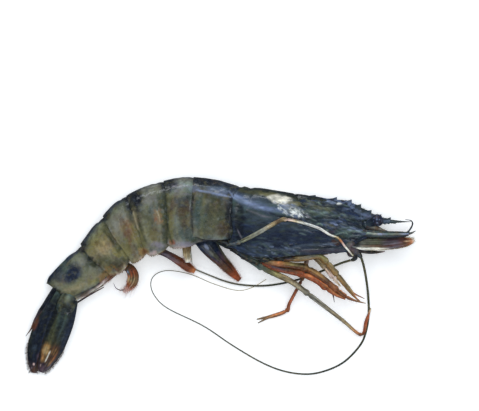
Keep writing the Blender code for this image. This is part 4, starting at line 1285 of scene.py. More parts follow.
@dataclass
class Eyes:
    """Both eyes on their jointed stalks."""

    place: tuple[float, float] = (61.9, -6.7)
    radius: float = 2.75
    spread: float = 4.3
    root: tuple[float, float] = (54.5, -9.5)
    root_spread: float = 1.4
    pole: float = 0.06

    def build(self, shop: Workshop) -> None:
        """Make the faceted eyes and the stalks with their cups."""
        for side in Side:
            centre = np.array((*self.place, HEAD_PLANE + side.value * self.spread))
            root = np.array((*self.root, HEAD_PLANE + side.value * self.root_spread))
            way = unit(centre - root)
            ball = np.linspace(self.pole, math.pi - self.pole, 40)
            radii = self.radius * np.sin(ball) * (1 + 0.03 * np.cos(3 * ball))
            line = centre[None] - way * (np.cos(ball) * self.radius)[:, None]
            ball_points = tube(line, radii, 48)
            paint = np.broadcast_to(NAVY.linear, ball_points.shape)
            # Pale blue patches are painted highlights on the facets
            paint = laid(paint, HAZE, 0.9 * soft_step(0.1, 0.5, NOISE(ball_points, 0.7)))
            paint = laid(paint, PLUM, 0.4 * soft_step(0.1, 0.6, NOISE(ball_points, 1.3)))
            shop.closed(f"eye_{side.label}", ball_points, paint, EYE)
            share = np.linspace(0, 1, 30)
            line = root + (centre - way * 0.9 - root) * share[:, None]
            radii = 1.5 + 0.9 * share**2 + 0.25 * hump(share, 0.35, 0.06)
            radii = radii - 0.3 * hump(share, 0.46, 0.05)
            paint = ramp(((0, NAVY), (0.5, SLATE), (0.75, NAVY), (1, INK)), share)
            shop.closed(f"eye_stalk_{side.label}", tube(line, radii, 24), paint[:, None], HEAD_SHELL)


# Limbs


LIMB_SPACING = 0.32
LIMB_SIDES = 14
STRAND_LENGTH = 14.0  # rings of points to each streak of colour along a limb


@dataclass(frozen=True)
class Limb:
    """A jointed limb through rows of x, y, z and radius.

    Joints are the numbers of the rows where two segments meet. Colours are stops along the limb from 0
    to 1. Bristles is their number for each millimetre.
    """

    name: str
    route: Rows
    colours: tuple[tuple[float, Pigment], ...]
    joints: tuple[int, ...] = ()
    oval: float = 1.0
    bristles: float = 0.0
    rings: float = 0.0
    under: Pigment | None = None

    def form(self, floor: Floor | None = None) -> tuple[Array, Array, Array]:
        """Work out the limb's surface.

        Args:
            floor: Gives the least height of the middle line at its points, or None.

        Returns:
            The grid of points, the share along the limb of each ring, and the middle line.
        """
        dense = smooth_route(self.route, LIMB_SPACING)
        line, radii = dense[:, :3].copy(), dense[:, 3]
        if floor is not None:
            lifted = np.maximum(line[:, 2], floor(line) + radii * 0.8)
            line[:, 2] = np.convolve(np.pad(lifted, 6, mode="edge"), np.ones(13) / 13, "valid")
        run = run_along(line)
        for joint in self.joints:
            spot = run[np.argmin(np.linalg.norm(line[:, :2] - np.array(self.route[joint][:2]), axis=1))]
            size = self.route[joint][3]
            radii = radii * (1 + 0.26 * hump(run, spot - 0.5 * size, 0.9 * size))
            radii = radii * (1 - 0.3 * hump(run, spot + 0.7 * size, 0.45 * size))
        if self.rings:
            radii = radii * (1 + 0.07 * np.sin(run * math.tau / self.rings))
        points = tube(line, radii, LIMB_SIDES, self.oval)
        points = raised(points, NOISE(points, 0.8) * 0.05 * radii[:, None], wrap=True)
        return points, run / run[-1], line

    def build(self, shop: Workshop, floor: Floor | None = None, finish: Finish = LIMB) -> None:
        """Make the limb and its bristles.

        Args:
            shop: Makes the pieces.
            floor: Gives the least height of the middle line at its points, or None.
            finish: The limb's finish.
        """
        points, share, line = self.form(floor)
        paint = np.broadcast_to(ramp(self.colours, share)[:, None], points.shape)
        fleck = NOISE(points, (1.2, 1.2, 0.7))
        column, row = np.meshgrid(np.arange(LIMB_SIDES) * 1.6, share * len(line) / STRAND_LENGTH)
        strands = NOISE(np.stack([column, row, 0 * row + len(self.name)], axis=-1), 1.0)
        out = unit(points - line[:, None])
        # Darker on the sides that turn towards plus or minus y: painted shade at the limb's outline
        edge = 0.4 * soft_step(0.65, 1.0, np.abs(out[..., 1]))
        paint = paint * (1 + 0.25 * fleck + 1.1 * strands - edge)[..., None]
        # The upward-facing top is paled with stone: painted light
        painted_top_light = soft_step(0.2, 1.0, out[..., 2])
        paint = laid(paint, STONE, 0.1 * painted_top_light)
        if self.under:
            low = soft_step(-0.1, 0.5, -out[..., 1] + 0.3 * fleck)
            paint = laid(paint, self.under, 0.85 * low)
        skin = Skin()
        skin.add(points, paint, wrap=True, caps=True)
        if self.bristles:
            count = round(self.bristles * len(line) * LIMB_SPACING)
            rng = np.random.default_rng(len(self.name) + count)
            row, col = rng.integers(4, len(line) - 1, count), rng.integers(0, points.shape[1], count)
            roots = points[row, col]
            ways = unit(roots - line[row]) + 0.9 * unit(np.gradient(line, axis=0))[row]
            skin.hairs(roots, ways, rng.uniform(0.6, 1.5, count), 0.05, ORANGE.linear)
        shop.piece(self.name, skin, finish)


LEFT_LEG = ((0, SLATE), (0.3, TEAL), (0.7, TAN), (1, ORANGE))


@dataclass
class Legs:
    """Walking legs, jaw legs and their roots, on both sides."""

    carapace: Array
    search_radius: float = 0.9
    chest_rows: int = 150
    chest_cols: int = 72
    chest_furrow: float = 0.45
    over_body: Limb = Limb(
        "leg_5_right",
        (
            (-6, -18, 13, 0.5), (0, -16.4, 17, 0.9), (7.7, -12.6, 19, 1), (18.1, -6.7, 20, 0.95),
            (20.7, -6.3, 20, 0.8), (25.8, -7.1, 19, 0.65), (34.9, -9.9, 18, 0.6),
            (40.5, -13.1, 17, 0.55), (44.3, -14.7, 16.5, 0.55), (47.4, -18.5, 16, 0.5),
            (51, -22.6, 14.6, 0.35),
        ),
        (
            (0, PINE), (0.07, STEEL), (0.12, SAGE), (0.28, STONE), (0.36, TAN), (0.39, BROWN),
            (0.43, TAN), (0.47, ROSE), (0.52, SAND), (0.6, WHITE), (0.78, CREAM), (0.83, TAN),
            (0.86, ORANGE), (0.89, ROSE), (0.94, CREAM), (1, SAND),
        ),
        joints=(1, 4, 8),
    )
    limbs: tuple[Limb, ...] = (
        Limb(
            "leg_4_right",
            (
                (-3, -19.5, 13, 1.3), (9.9, -27.7, 13.6, 1.35), (22.9, -34, 12.4, 1.35),
                (30.6, -39.5, 10.8, 1.15), (45.9, -51.3, 5.6, 0.85), (54.9, -58.3, 2.4, 0.65),
                (57.3, -52, 2, 0.75), (59.3, -46.4, 1.8, 0.3),
            ),
            (
                (0, SLATE), (0.17, TEAL), (0.23, OLIVE), (0.27, MOSS), (0.31, TAN), (0.5, STONE),
                (0.76, TAN), (0.82, ORANGE), (0.86, EMBER), (0.96, EMBER), (1, SAND),
            ),
            joints=(1, 3, 5),
            bristles=0.5,
        ),
        Limb(
            "leg_3_right",
            (
                (30.6, -21, 10, 1.2), (29.7, -28.1, 9, 1), (28, -33.5, 7, 0.8), (22.7, -43.9, 3.6, 0.75),
                (21.2, -47.5, 2, 0.85), (14.7, -50, 1.2, 0.85), (7.8, -51.4, 0.7, 0.25),
            ),
            ((0, ROSE), (0.2, BROWN), (0.35, RUST), (0.6, EMBER), (0.8, ORANGE), (1, TAN)),
            joints=(2, 4),
            bristles=0.4,
        ),
        Limb(
            "leg_3_right_thumb",
            ((16.4, -49.4, 1.2, 0.55), (12.6, -50.9, 1, 0.45), (8.3, -53.1, 0.8, 0.2)),
            ((0, EMBER), (1, TAN)),
        ),
        Limb(
            "leg_2_right",
            (
                (14.4, -22.4, 13, 1), (22.1, -23.9, 14, 1.2), (28, -23.9, 14, 1.3),
                (35.6, -22.9, 13.4, 1.15), (39, -25.4, 12.8, 1.4), (43.6, -30.8, 11, 1.25),
                (50, -38.6, 8.9, 1), (52, -41.2, 8, 0.5), (54.5, -43.4, 7.6, 0.22),
            ),
            (
                # The cobalt band near the root is the leg's blue, partly painted highlight
                (0, NAVY), (0.1, COBALT), (0.17, COBALT), (0.19, NAVY), (0.22, TAN), (0.36, STONE),
                (0.46, MOSS), (0.56, TAN), (0.7, TAN), (0.85, TAN), (0.94, ORANGE), (1, EMBER),
            ),
            joints=(4, 5),
            bristles=0.6,
            under=HONEY,
        ),
        Limb(
            "leg_2_right_thumb",
            ((49.6, -38.4, 8.8, 0.5), (53, -40.4, 8.2, 0.35), (56.4, -42, 7.6, 0.15)),
            ((0, ORANGE), (1, EMBER)),
        ),
        Limb(
            "leg_1_right",
            (
                (33, -22.6, 11.6, 1.1), (38.4, -27.6, 11.2, 1.2), (42, -32.2, 10.2, 1),
                (45.5, -36.4, 9.6, 0.25),
            ),
            ((0, BROWN), (0.3, TAN), (0.7, ROSE), (1, SAND)),
            joints=(1, 2),
            bristles=0.6,
        ),
        Limb(
            "jaw_leg_right",
            (
                (5.5, -23.4, 13.6, 1), (9.9, -24.6, 14.8, 1.2), (16, -26.1, 15.2, 1.4),
                (24, -27, 15.2, 1.55), (29.8, -28.2, 14.8, 1.65), (36.7, -32.4, 13.4, 1.55),
                (43.6, -37.9, 11.8, 1.3), (47.7, -40.9, 10.8, 0.9), (52, -42.8, 10, 0.5),
                (56.9, -44.1, 9.2, 0.15),
            ),
            (
                (0, SLATE), (0.06, BROWN), (0.14, TAN), (0.22, ORANGE), (0.27, HONEY), (0.34, MOSS),
                (0.44, HONEY), (0.5, HONEY), (0.56, HONEY), (0.64, BROWN), (0.7, ORANGE), (0.8, ORANGE),
                (0.86, ORANGE), (1, TAN),
            ),
            joints=(1, 4, 6, 7),
            bristles=2.2,
            under=RUST,
        ),
        Limb(
            "jaw_leg_branch",
            (
                (10.6, -25.4, 14, 1.4), (16, -28, 14.6, 1.4), (22, -29.5, 14.6, 1.35),
                (28.4, -31, 14.2, 1.4), (34, -33.4, 13.4, 1.4), (39, -37, 12.4, 1.3),
                (43.4, -40, 11.6, 0.9), (47.6, -42.2, 10.8, 0.35),
            ),
            (
                (0, INK), (0.2, PLUM), (0.34, BROWN), (0.46, EMBER), (0.54, ORANGE), (0.58, EMBER),
                (0.64, EMBER), (0.74, ORANGE), (0.86, ORANGE), (1, ORANGE),
            ),
            joints=(3, 5),
            bristles=1.6,
            under=EMBER,
        ),
        Limb(
            "jaw_leg_spine", ((40.6, -36.8, 11.8, 0.5), (42, -40, 11.2, 0.35), (42.7, -43.6, 10.4, 0.1)),
            ((0, EMBER), (1, SLATE)),
        ),
        *(
            Limb(f"leg_{number}_left", route, LEFT_LEG, joints=(1, 2))
            for number, *route in (
                (5, (-4, -19.5, 5, 1.1), (8, -23, 2, 1), (25, -23.6, 1.3, 0.9), (40, -21.6, 1.2, 0.5)),
                (
                    4, (2.7, -22.6, 6, 1.1), (14, -26.2, 3.4, 1.1), (28, -28.4, 1.7, 1),
                    (43, -37.6, 0.9, 0.4),
                ),
                (
                    3, (14, -25, 6, 1.1), (26, -24.2, 2.6, 1), (36.5, -23.8, 1.4, 0.9),
                    (46, -34.4, 0.9, 0.4),
                ),
            )
        ),
        Limb(
            "jaw_leg_left",
            ((9, -25, 6, 1.3), (22, -27, 4, 1.4), (31, -29.4, 3.2, 1.3), (45, -39.4, 2.2, 0.4)),
            ((0, RUST), (0.5, OLIVE), (0.8, EMBER), (1, ORANGE)), joints=(1, 2), bristles=0.8,
        ),
    )
    chest: Rows = (
        (-11.5, -15.4, 0.8, 2), (-6, -16.2, 3, 5.5), (-1.5, -18.2, 3.4, 7), (3, -21, 4.2, 8),
        (8, -22.8, 4.2, 8.2), (14, -23, 3.2, 7.8), (22, -22.4, 1.8, 7), (30, -21.4, 1.4, 6),
        (40, -20.6, 1.3, 5), (49, -19.4, 1.3, 4),
    )
    roots: tuple[Rows, ...] = (
        ((-9.6, -15.8, 5, 0.8), (-3.6, -18, 6.5, 1), (1, -21, 7, 0.9)),
        ((-5, -16, 6.8, 1), (1.6, -19, 8.4, 1.1), (9.9, -23.6, 8.6, 1)),
        ((-3.8, -18.4, 5, 1), (1.6, -22.4, 6.6, 1.3), (8.4, -26, 6.6, 1.1)),
        ((1, -19.4, 7.6, 0.8), (7, -22.4, 8.4, 1), (13, -24.8, 8, 0.9)),
    )

    def height_of_carapace(self, line: Array) -> Array:
        """Return how high the carapace is below each point of a line."""
        shell = self.carapace.reshape(-1, 3)
        found = []
        for place in line:
            near = np.linalg.norm(shell[:, :2] - place[:2], axis=1) < self.search_radius
            found.append(shell[near, 2].max() if near.any() else 0.0)
        return np.array(found)

    def build(self, shop: Workshop) -> None:
        """Make the legs and the roots that they spring from."""
        self.over_body.build(shop, self.height_of_carapace)
        for limb in self.limbs:
            limb.build(shop)
        self.build_chest(shop)

    def build_chest(self, shop: Workshop) -> None:
        """Make the furrowed chest below the carapace, and the leg roots that lie on it."""
        rows = curve_through(self.chest, np.linspace(0, len(self.chest) - 1, self.chest_rows))
        turn = np.linspace(0, math.tau, self.chest_cols, endpoint=False)[None]
        x, y, deep, wide = (column[:, None] for column in rows.T)
        places = (x, y + deep * np.cos(turn), HEAD_PLANE + wide * np.sin(turn))
        points = np.stack(np.broadcast_arrays(*places), axis=-1)
        x, y, z = np.moveaxis(points, -1, 0)
        slanted = np.stack([x * 0.55 + y, x - y, 0 * z], axis=-1)
        strands = NOISE(slanted, (0.8, 6.0, 1.0))
        shaped = raised(points, self.chest_furrow * strands, wrap=True)
        paint = laid(np.broadcast_to(INK.linear, points.shape), TEAL, 0.3 + 0.9 * strands)
        # Steel on the highest strands is painted highlight
        paint = laid(paint, STEEL, 1.5 * (strands - 0.35))
        shop.closed("chest", shaped, paint, SHELL)
        colours = ((0, PINE), (0.4, SLATE), (0.7, TEAL), (1, PINE))
        for number, root in enumerate(self.roots, 1):
            for side in Side:
                route = tuple((x, y, HEAD_PLANE + side.value * z, r) for x, y, z, r in root)
                Limb(f"leg_root_{number}_{side.label}", route, colours, under=INK).build(shop)


@dataclass
class Feelers:
    """Antennules, antennal peduncles and their short flagella."""

    limbs: tuple[Limb, ...] = (
        Limb(
            "antennule",
            (
                (52, -12.2, 12.2, 2.3), (58, -12.6, 12.5, 2), (62, -13, 12.7, 1.75),
                (68, -13.2, 12.8, 1.6), (73, -13.1, 12.9, 1.4), (76, -12.8, 13, 0.7),
            ),
            ((0, TEAL), (0.2, MINT), (0.4, STONE), (0.5, SHEEN), (0.62, MINT), (0.8, STONE), (1, SHEEN)),
            oval=0.7,
            bristles=1.2,
            under=SLATE,
        ),
        Limb(
            "antennule_edge",
            (
                (55, -11.2, 13.6, 0.6), (63, -11.9, 13.6, 0.55), (72, -12.1, 13.6, 0.4),
                (77.4, -12.2, 13.4, 0.12),
            ),
            ((0, NAVY), (0.4, TEAL), (0.7, INK), (1, TEAL)),
        ),
        Limb(
            "antennule_keel",
            (
                (56, -13.6, 14.2, 0.4), (64, -13.9, 14.2, 0.4), (72, -13.9, 14.1, 0.3),
                (76, -13.6, 13.9, 0.1),
            ),
            ((0, NAVY), (0.4, TEAL), (0.7, NAVY), (1, INK)),
        ),
        Limb(
            "antennule_spine",
            (
                (57, -9.4, 12, 1.9), (61, -10.3, 12.2, 1.5), (64, -11.2, 12.4, 0.9),
                (67, -11.9, 12.6, 0.3),
            ),
            ((0, PLUM), (0.3, STONE), (0.5, BROWN), (0.7, STONE), (1, PLUM)), bristles=1.0,
            under=INK,
        ),
        Limb(
            "antennule_outer_flagellum",
            ((75.4, -13, 12.8, 0.5), (77.4, -12.4, 12.8, 0.4), (79.3, -11.4, 12.8, 0.12)),
            ((0, SLATE), (1, STONE)), rings=0.4,
        ),
        Limb(
            "antennule_inner_flagellum",
            (
                (75, -12.6, 13.2, 0.42), (76.2, -11.5, 13.4, 0.32), (77.4, -9.7, 13.4, 0.26),
                (77.9, -8.1, 13.3, 0.24), (77.2, -6.8, 13.2, 0.2), (74.7, -6.3, 13, 0.12),
            ),
            ((0, SLATE), (1, SLATE)),
            rings=0.4,
        ),
        Limb(
            "lower_spine",
            ((52, -19.6, 9, 1.2), (58, -20.8, 9, 1), (62, -21, 9, 0.6), (65.6, -20.7, 9, 0.12)),
            ((0, PLUM), (0.5, INK), (0.8, BROWN), (1, RUST)), bristles=1.0,
        ),
        Limb(
            "peduncle",
            (
                (47.5, -16.4, 13, 2.4), (50, -18.4, 13.2, 2.7), (52.6, -20.6, 13.3, 2.1),
                (54, -22.3, 13.2, 1.3), (54.8, -23.7, 12.6, 0.55),
            ),
            ((0, TEAL), (0.4, PLUM), (0.8, SLATE), (1, PINE)),
            joints=(1, 2),
        ),
    )

    lower_peduncle: Rows = (
        (46, -16.4, 7, 2.4), (48.6, -18.8, 7, 2.4), (51, -21.6, 7.2, 1.9), (52.2, -23.2, 7.2, 1.3),
        (51.4, -24.3, 7, 0.95), (50.2, -24.7, 7, 0.55),
    )

    def build(self, shop: Workshop) -> None:
        """Make the feelers of the right side, and of the left side below them."""
        for limb in self.limbs:
            for side in Side:
                if limb.name == "lower_spine" and side is Side.LEFT:
                    continue
                route = mirrored(limb.route, side)
                if limb.name == "peduncle" and side is Side.LEFT:
                    route = self.lower_peduncle
                replace(limb, name=f"{limb.name}_{side.label}", route=route).build(shop)


# Leaves


@dataclass(frozen=True)
class Mark:
    """A patch of pigment on a leaf, by its place and half sizes across and along."""

    across: float
    along: float
    wide: float
    long: float
    pigment: Pigment
    share: float = 0.8


LEAF_SPACING = 0.4
LEAF_COLUMNS = 30
LEAF_BRISTLE = 0.075


@dataclass(frozen=True)
class Leaf:
    """A thin blade along rows of x, y, z and half width.

    Ribs are (place across, height, width), where across runs from -1 to 1. Fringe is how long the
    bristles on its edge are.
    """

    name: str
    route: Rows
    normal: tuple[float, float, float]
    colours: tuple[tuple[float, Pigment], ...]
    marks: tuple[Mark, ...] = ()
    thickness: float = 1.0
    arch: float = 0.6
    ribs: Rows = ()
    furrows: float = 0.05
    fringe: float = 1.2
    fringe_pigment: Pigment = SAND
    fringe_start: float = 0.15

    def build(self, shop: Workshop) -> None:
        """Make the leaf and its fringe."""
        dense = smooth_route(self.route, LEAF_SPACING)
        line, half = dense[:, :3], dense[:, 3]
        run = np.linspace(0, 1, len(line))
        face = unit(np.array(self.normal, float))
        along = unit(np.gradient(line, axis=0))
        across = unit(np.cross(along, face))
        out = np.cross(across, along)
        spread = np.sin(np.linspace(-math.pi / 2, math.pi / 2, LEAF_COLUMNS))
        u = np.concatenate([spread, spread[::-1][1:-1]])[None]
        top = np.where(np.arange(u.size) < LEAF_COLUMNS, 1.0, -1.0)[None]
        full = np.minimum(1.0, 1.6 * half / half.max())[:, None]
        lens = np.sqrt(np.maximum(1 - u**2, 0))
        height = top * self.thickness / 2 * lens**0.8 * full + self.arch * (1 - u**2) * full
        height = height - self.arch * 0.4 * full
        for place, high, width in self.ribs:
            height = height + np.where(top > 0, 1.0, 0.4) * top * high * hump(u, place, width) * full
        height = height + top * self.furrows * np.sin(u * 34) * lens * full
        sideways = across[:, None] * (u * half[:, None])[..., None]
        points = line[:, None] + sideways + out[:, None] * height[..., None]
        points = points + out[:, None] * (NOISE(points, 4.0) * 0.25)[..., None]
        points[..., 2] = np.maximum(points[..., 2], 0.05)
        s = np.broadcast_to(run[:, None], points.shape[:2])
        v = np.broadcast_to(u, points.shape[:2])
        paint = ramp(self.colours, s)
        for mark in self.marks:
            reach = np.hypot((v - mark.across) / mark.wide, (s - mark.along) / mark.long)
            reach = reach + 0.25 * NOISE.layered(points, 2.0)
            paint = laid(paint, mark.pigment, (1 - soft_step(0.5, 1.15, reach)) * mark.share)
        stripes = NOISE(np.stack([v * 16, s * 4, 0 * s + self.thickness], axis=-1), 1.0)
        shade = 1 + 0.5 * stripes + 0.25 * NOISE(points, 1.0) + 0.3 * NOISE.layered(points, 2.4)
        paint = paint * shade[..., None]
        skin = Skin()
        skin.add(points, paint, wrap=True, caps=True)
        if self.fringe:
            self.hem(skin, line, across, along, half)
        shop.piece(self.name, skin, LEAF)

    def hem(self, skin: Skin, line: Array, across: Array, along: Array, half: Array) -> None:
        """Add the fringe of bristles along both edges and round the tip."""
        rng = np.random.default_rng(sum(map(ord, self.name)))
        first = round(self.fringe_start * len(line))
        order = np.arange(len(line))
        rows = np.repeat(order[first:-1], 2)
        for side in (-1, 1):
            place = np.clip(rows + rng.uniform(-0.5, 0.5, len(rows)), 0, len(line) - 1)
            edge = line + across * half[:, None] * side * 0.97
            roots = np.stack([np.interp(place, order, column) for column in edge.T], axis=-1)
            turn = rng.normal(0.9, 0.25, (len(rows), 1))
            ways = across[rows] * side + along[rows] * turn + rng.normal(0, 0.15, (len(rows), 3))
            grown = np.minimum(1, 0.15 + (rows - first) / (0.12 * len(line)))
            lengths = self.fringe * grown * rng.uniform(0.5, 1.1, len(rows))
            skin.hairs(roots, ways, lengths, LEAF_BRISTLE, self.fringe_pigment.linear)


@dataclass
class Leaves:
    """Antennal scales, pleopods and the folded tail fan."""

    pleopod_normal: tuple[float, float, float] = (0.3, 0.3, 0.9)
    scale_normal: tuple[float, float, float] = (0.0, 0.86, 0.51)
    scale_route: Rows = (
        (50.5, -16.8, 13.6, 3.4), (57, -17.2, 14.2, 5.1), (66, -17.1, 14.8, 5.1), (72.5, -16.5, 15, 4.5),
        (76.4, -16, 15, 2.8), (78.8, -15.4, 15, 0.5),
    )
    fan_root: Rows = (
        (-74.2, -37.4, 7.6, 3.2), (-76.6, -42, 7.8, 4.2), (-78.8, -46.6, 7.4, 4.1),
        (-80.4, -50.6, 6.8, 2.6),
    )
    pleopod_drop: float = 0.62
    fan_drop: float = 0.72
    base_drop: float = 0.6
    tuft_count: int = 30
    tuft_seed: int = 8
    telson_route: Rows = (
        (-79.4, -32.6, 5.2, 3), (-85.3, -41.4, 4.9, 2.8), (-90.6, -50, 4.2, 1.5),
        (-93.6, -54.9, 3.9, 0.6), (-96.4, -58.8, 3.6, 0.15),
    )

    def scales(self) -> list[Leaf]:
        """Return the antennal scales."""
        colours = (
            (0, INK), (0.12, STONE), (0.4, SAGE), (0.58, PLUM), (0.72, PLUM), (0.84, RUST),
            (0.94, ORANGE), (1, CREAM),
        )
        marks = (
            Mark(0.5, 0.45, 0.25, 0.3, RUST, 0.6), Mark(0.1, 0.6, 0.4, 0.16, LILAC, 0.4),
            Mark(0.95, 0.32, 0.28, 0.3, CREAM, 0.9), Mark(-0.9, 0.5, 0.25, 0.6, INK, 0.8),
            Mark(0.1, 0.05, 1.2, 0.1, INK, 0.9), Mark(0.3, 0.3, 0.08, 0.3, PINE, 0.8),
            Mark(-0.25, 0.4, 0.07, 0.35, PLUM, 0.8), Mark(0.55, 0.82, 0.1, 0.14, BROWN, 0.8),
            Mark(-0.1, 0.85, 0.08, 0.14, PLUM, 0.8), Mark(0.2, 0.88, 0.1, 0.08, SAND, 0.6),
            Mark(0.35, 0.62, 0.06, 0.2, LILAC, 0.6), Mark(-0.4, 0.78, 0.07, 0.18, BROWN, 0.7),
        )
        return [
            Leaf(
                f"antennal_scale_{side.label}", mirrored(self.scale_route, side),
                (*self.scale_normal[:2], side.value * self.scale_normal[2]), colours, marks,
                thickness=0.9, arch=0.5, ribs=((-0.6, 0.35, 0.1), (0.1, 0.2, 0.08)), fringe=1.3,
            )
            for side in Side
        ]

    def pleopods(self) -> list[Leaf]:
        """Return the pleopods of both sides."""
        kinds = {
            "pleopod_1": (
                (
                    (-17.4, -12.4, 12, 5), (-14.5, -16.8, 13, 4.9), (-11.2, -21.4, 12.4, 3.9),
                    (-7.6, -25.4, 11, 3), (-4.2, -29, 9.6, 2.5), (0.2, -33.6, 8.4, 1.1),
                ),
                (
                    (0, NAVY), (0.38, NAVY), (0.52, PLUM), (0.64, BROWN), (0.78, RUST), (0.9, EMBER),
                    (1, RUST),
                ),
                (
                    # The sheen and steel marks near the root are painted glints
                    Mark(0.3, 0.42, 0.3, 0.16, OLIVE, 0.7), Mark(0.35, 0.24, 0.16, 0.06, SHEEN, 0.6),
                    Mark(-0.2, 0.2, 0.3, 0.06, STEEL, 0.5), Mark(-0.85, 0.5, 0.22, 0.3, OLIVE, 0.8),
                    Mark(0.9, 0.55, 0.2, 0.3, BROWN, 0.8), Mark(-0.1, 0.6, 0.08, 0.3, INK, 0.8),
                    Mark(0.5, 0.7, 0.08, 0.2, BROWN, 0.7),
                ),
            ),
            "pleopod_2": (
                ((-23.9, -17, 13, 2.2), (-23.6, -21.6, 12.4, 1.9), (-23.2, -25.6, 11.8, 0.9)),
                ((0, BROWN), (0.4, TAN), (0.7, SAND), (1, CREAM)),
                (Mark(-0.3, 0.5, 0.12, 0.5, BROWN, 0.7), Mark(0.5, 0.6, 0.12, 0.4, HONEY, 0.7)),
            ),
            "pleopod_3": (
                (
                    (-37.5, -19.6, 12.6, 1.9), (-32.4, -22, 12.2, 1.7), (-27, -25.2, 11.4, 2),
                    (-22.8, -28, 10.6, 2.1), (-20, -29.6, 10.2, 1),
                ),
                ((0, BROWN), (0.25, PLUM), (0.5, RUST), (0.85, RUST), (1, ORANGE)),
                (Mark(0.5, 0.35, 0.5, 0.3, LILAC, 0.4),),
            ),
            "pleopod_4": (
                (
                    (-54, -26.8, 11, 1.6), (-50, -28, 11, 2.2), (-48, -31.2, 10.6, 2.6),
                    (-48.4, -34.8, 9.8, 2.4), (-50.4, -37.4, 9, 1.3), (-52.6, -38.6, 8.2, 0.4),
                ),
                ((0, PINE), (0.25, BROWN), (0.42, EMBER), (0.58, TAN), (0.78, EMBER), (1, ROSE)),
                (
                    # The teal and sheen marks near the top are a painted glint
                    Mark(0.7, 0.33, 0.25, 0.13, TEAL, 0.85), Mark(0.8, 0.3, 0.1, 0.05, SHEEN, 0.6),
                    Mark(-0.8, 0.5, 0.3, 0.3, BROWN, 0.7), Mark(0.1, 0.55, 0.08, 0.3, INK, 0.6),
                    Mark(-0.1, 0.6, 0.07, 0.25, SAND, 0.6), Mark(-0.4, 0.6, 0.1, 0.3, BROWN, 0.8),
                    Mark(0.55, 0.6, 0.1, 0.25, BROWN, 0.8),
                ),
            ),
            "pleopod_5": (
                ((-54, -27.4, 9.6, 1.6), (-58.3, -31.4, 8.8, 1.8), (-62.6, -35.2, 8, 0.8)),
                ((0, BROWN), (0.5, RUST), (1, EMBER)), (),
            ),
        }
        return [
            Leaf(
                f"{name}_{side.label}", lowered(route, side, self.pleopod_drop),
                self.pleopod_normal, colours, marks, thickness=1.3, arch=0.2,
                ribs=((0.0, 0.25, 0.2),), fringe=1.0, fringe_pigment=ROSE, fringe_start=0.5,
            )
            for name, (route, colours, marks) in kinds.items()
            for side in Side
        ]

    def fan(self) -> list[Leaf]:
        """Return the uropods of both sides and the telson."""
        outer = (
            (-75.6, -38.6, 7.8, 3.4), (-79, -50, 7.6, 4.9), (-81.8, -57.5, 6.4, 5.3),
            (-84.8, -65, 4.8, 4.9), (-88.2, -72, 3.4, 3.1), (-89.6, -75.2, 2.8, 1.2),
        )
        inner = (
            (-80.2, -38, 6.2, 3.6), (-86.2, -50, 5.8, 4.4), (-88.9, -57.5, 4.7, 5), (-91, -65, 3.4, 4.8),
            (-92.4, -71.5, 2.2, 3), (-93, -75.6, 1.7, 1.1),
        )
        outer_marks = (
            Mark(-0.85, 0.42, 0.4, 0.42, NAVY, 0.9), Mark(0.45, 0.56, 0.3, 0.26, OLIVE, 0.6),
            Mark(0.3, 0.3, 0.3, 0.2, TEAL, 0.6), Mark(-0.1, 0.3, 0.3, 0.2, TEAL, 0.6),
            Mark(-0.5, 0.5, 0.12, 0.1, SLATE, 0.8), Mark(-0.3, 0.16, 0.4, 0.1, SAGE, 0.6),
            Mark(0.15, 0.35, 0.1, 0.34, NAVY, 0.5), Mark(-0.4, 0.32, 0.1, 0.3, NAVY, 0.5),
            Mark(0.2, 0.62, 0.4, 0.12, OLIVE, 0.5), Mark(-0.1, 0.45, 0.2, 0.16, SLATE, 0.5),
            Mark(0.85, 0.35, 0.2, 0.4, INK, 0.8), Mark(-0.3, 0.78, 0.6, 0.17, BROWN, 0.9),
            Mark(-0.35, 0.72, 0.3, 0.05, HONEY, 0.5), Mark(0.5, 0.77, 0.45, 0.15, HONEY, 0.9),
            Mark(0.6, 0.8, 0.2, 0.07, ORANGE, 0.35), Mark(0.5, 0.75, 0.3, 0.07, TAN, 0.7),
            Mark(-0.5, 0.86, 0.1, 0.05, TAN, 0.5), Mark(0.5, 0.93, 0.12, 0.02, ROSE, 0.7),
            Mark(0.35, 0.84, 0.1, 0.06, BROWN, 0.7), Mark(-0.6, 0.8, 0.12, 0.1, ORANGE, 0.35),
            # The cream speck in the honey patch is a painted glint
            Mark(0.06, 0.8, 0.06, 0.075, CREAM, 1), Mark(0, 0.98, 1, 0.08, PLUM, 0.8),
        )
        inner_marks = (
            Mark(-0.2, 0.5, 1.2, 0.46, INK, 0.85), Mark(0.1, 0.5, 0.9, 0.45, NAVY, 0.5),
            Mark(0.95, 0.46, 0.35, 0.09, RUST, 0.7), Mark(-0.5, 0.5, 0.1, 0.4, INK, 0.9),
            # The slate mark at 0.72 along is a painted glint
            Mark(0.3, 0.72, 0.3, 0.05, SLATE, 0.6), Mark(0.15, 0.9, 0.16, 0.018, ROSE, 1),
            Mark(-0.3, 0.8, 0.3, 0.06, PLUM, 0.6), Mark(0.5, 0.95, 0.2, 0.02, LILAC, 0.7),
            Mark(0, 0.98, 1, 0.07, BROWN, 0.8),
        )
        kinds = (("exopod", outer, outer_marks), ("endopod", inner, inner_marks))
        colours = ((0, TEAL), (0.2, PINE), (0.5, PINE), (0.85, INK), (1, PLUM))
        uropods = (
            Leaf(
                f"uropod_{name}_{side.label}", lowered(route, side, self.fan_drop), (0.0, 0.0, 1.0),
                colours, marks, thickness=0.9, arch=0.7,
                ribs=((-0.1, 0.4, 0.08), (0.45, 0.3, 0.07)), furrows=0.09, fringe=1.7,
                fringe_pigment=BROWN, fringe_start=0.6,
            )
            for side in Side
            for name, route, marks in kinds
        )
        run = np.array(self.telson_route[-1][:3]) - np.array(self.telson_route[0][:3])
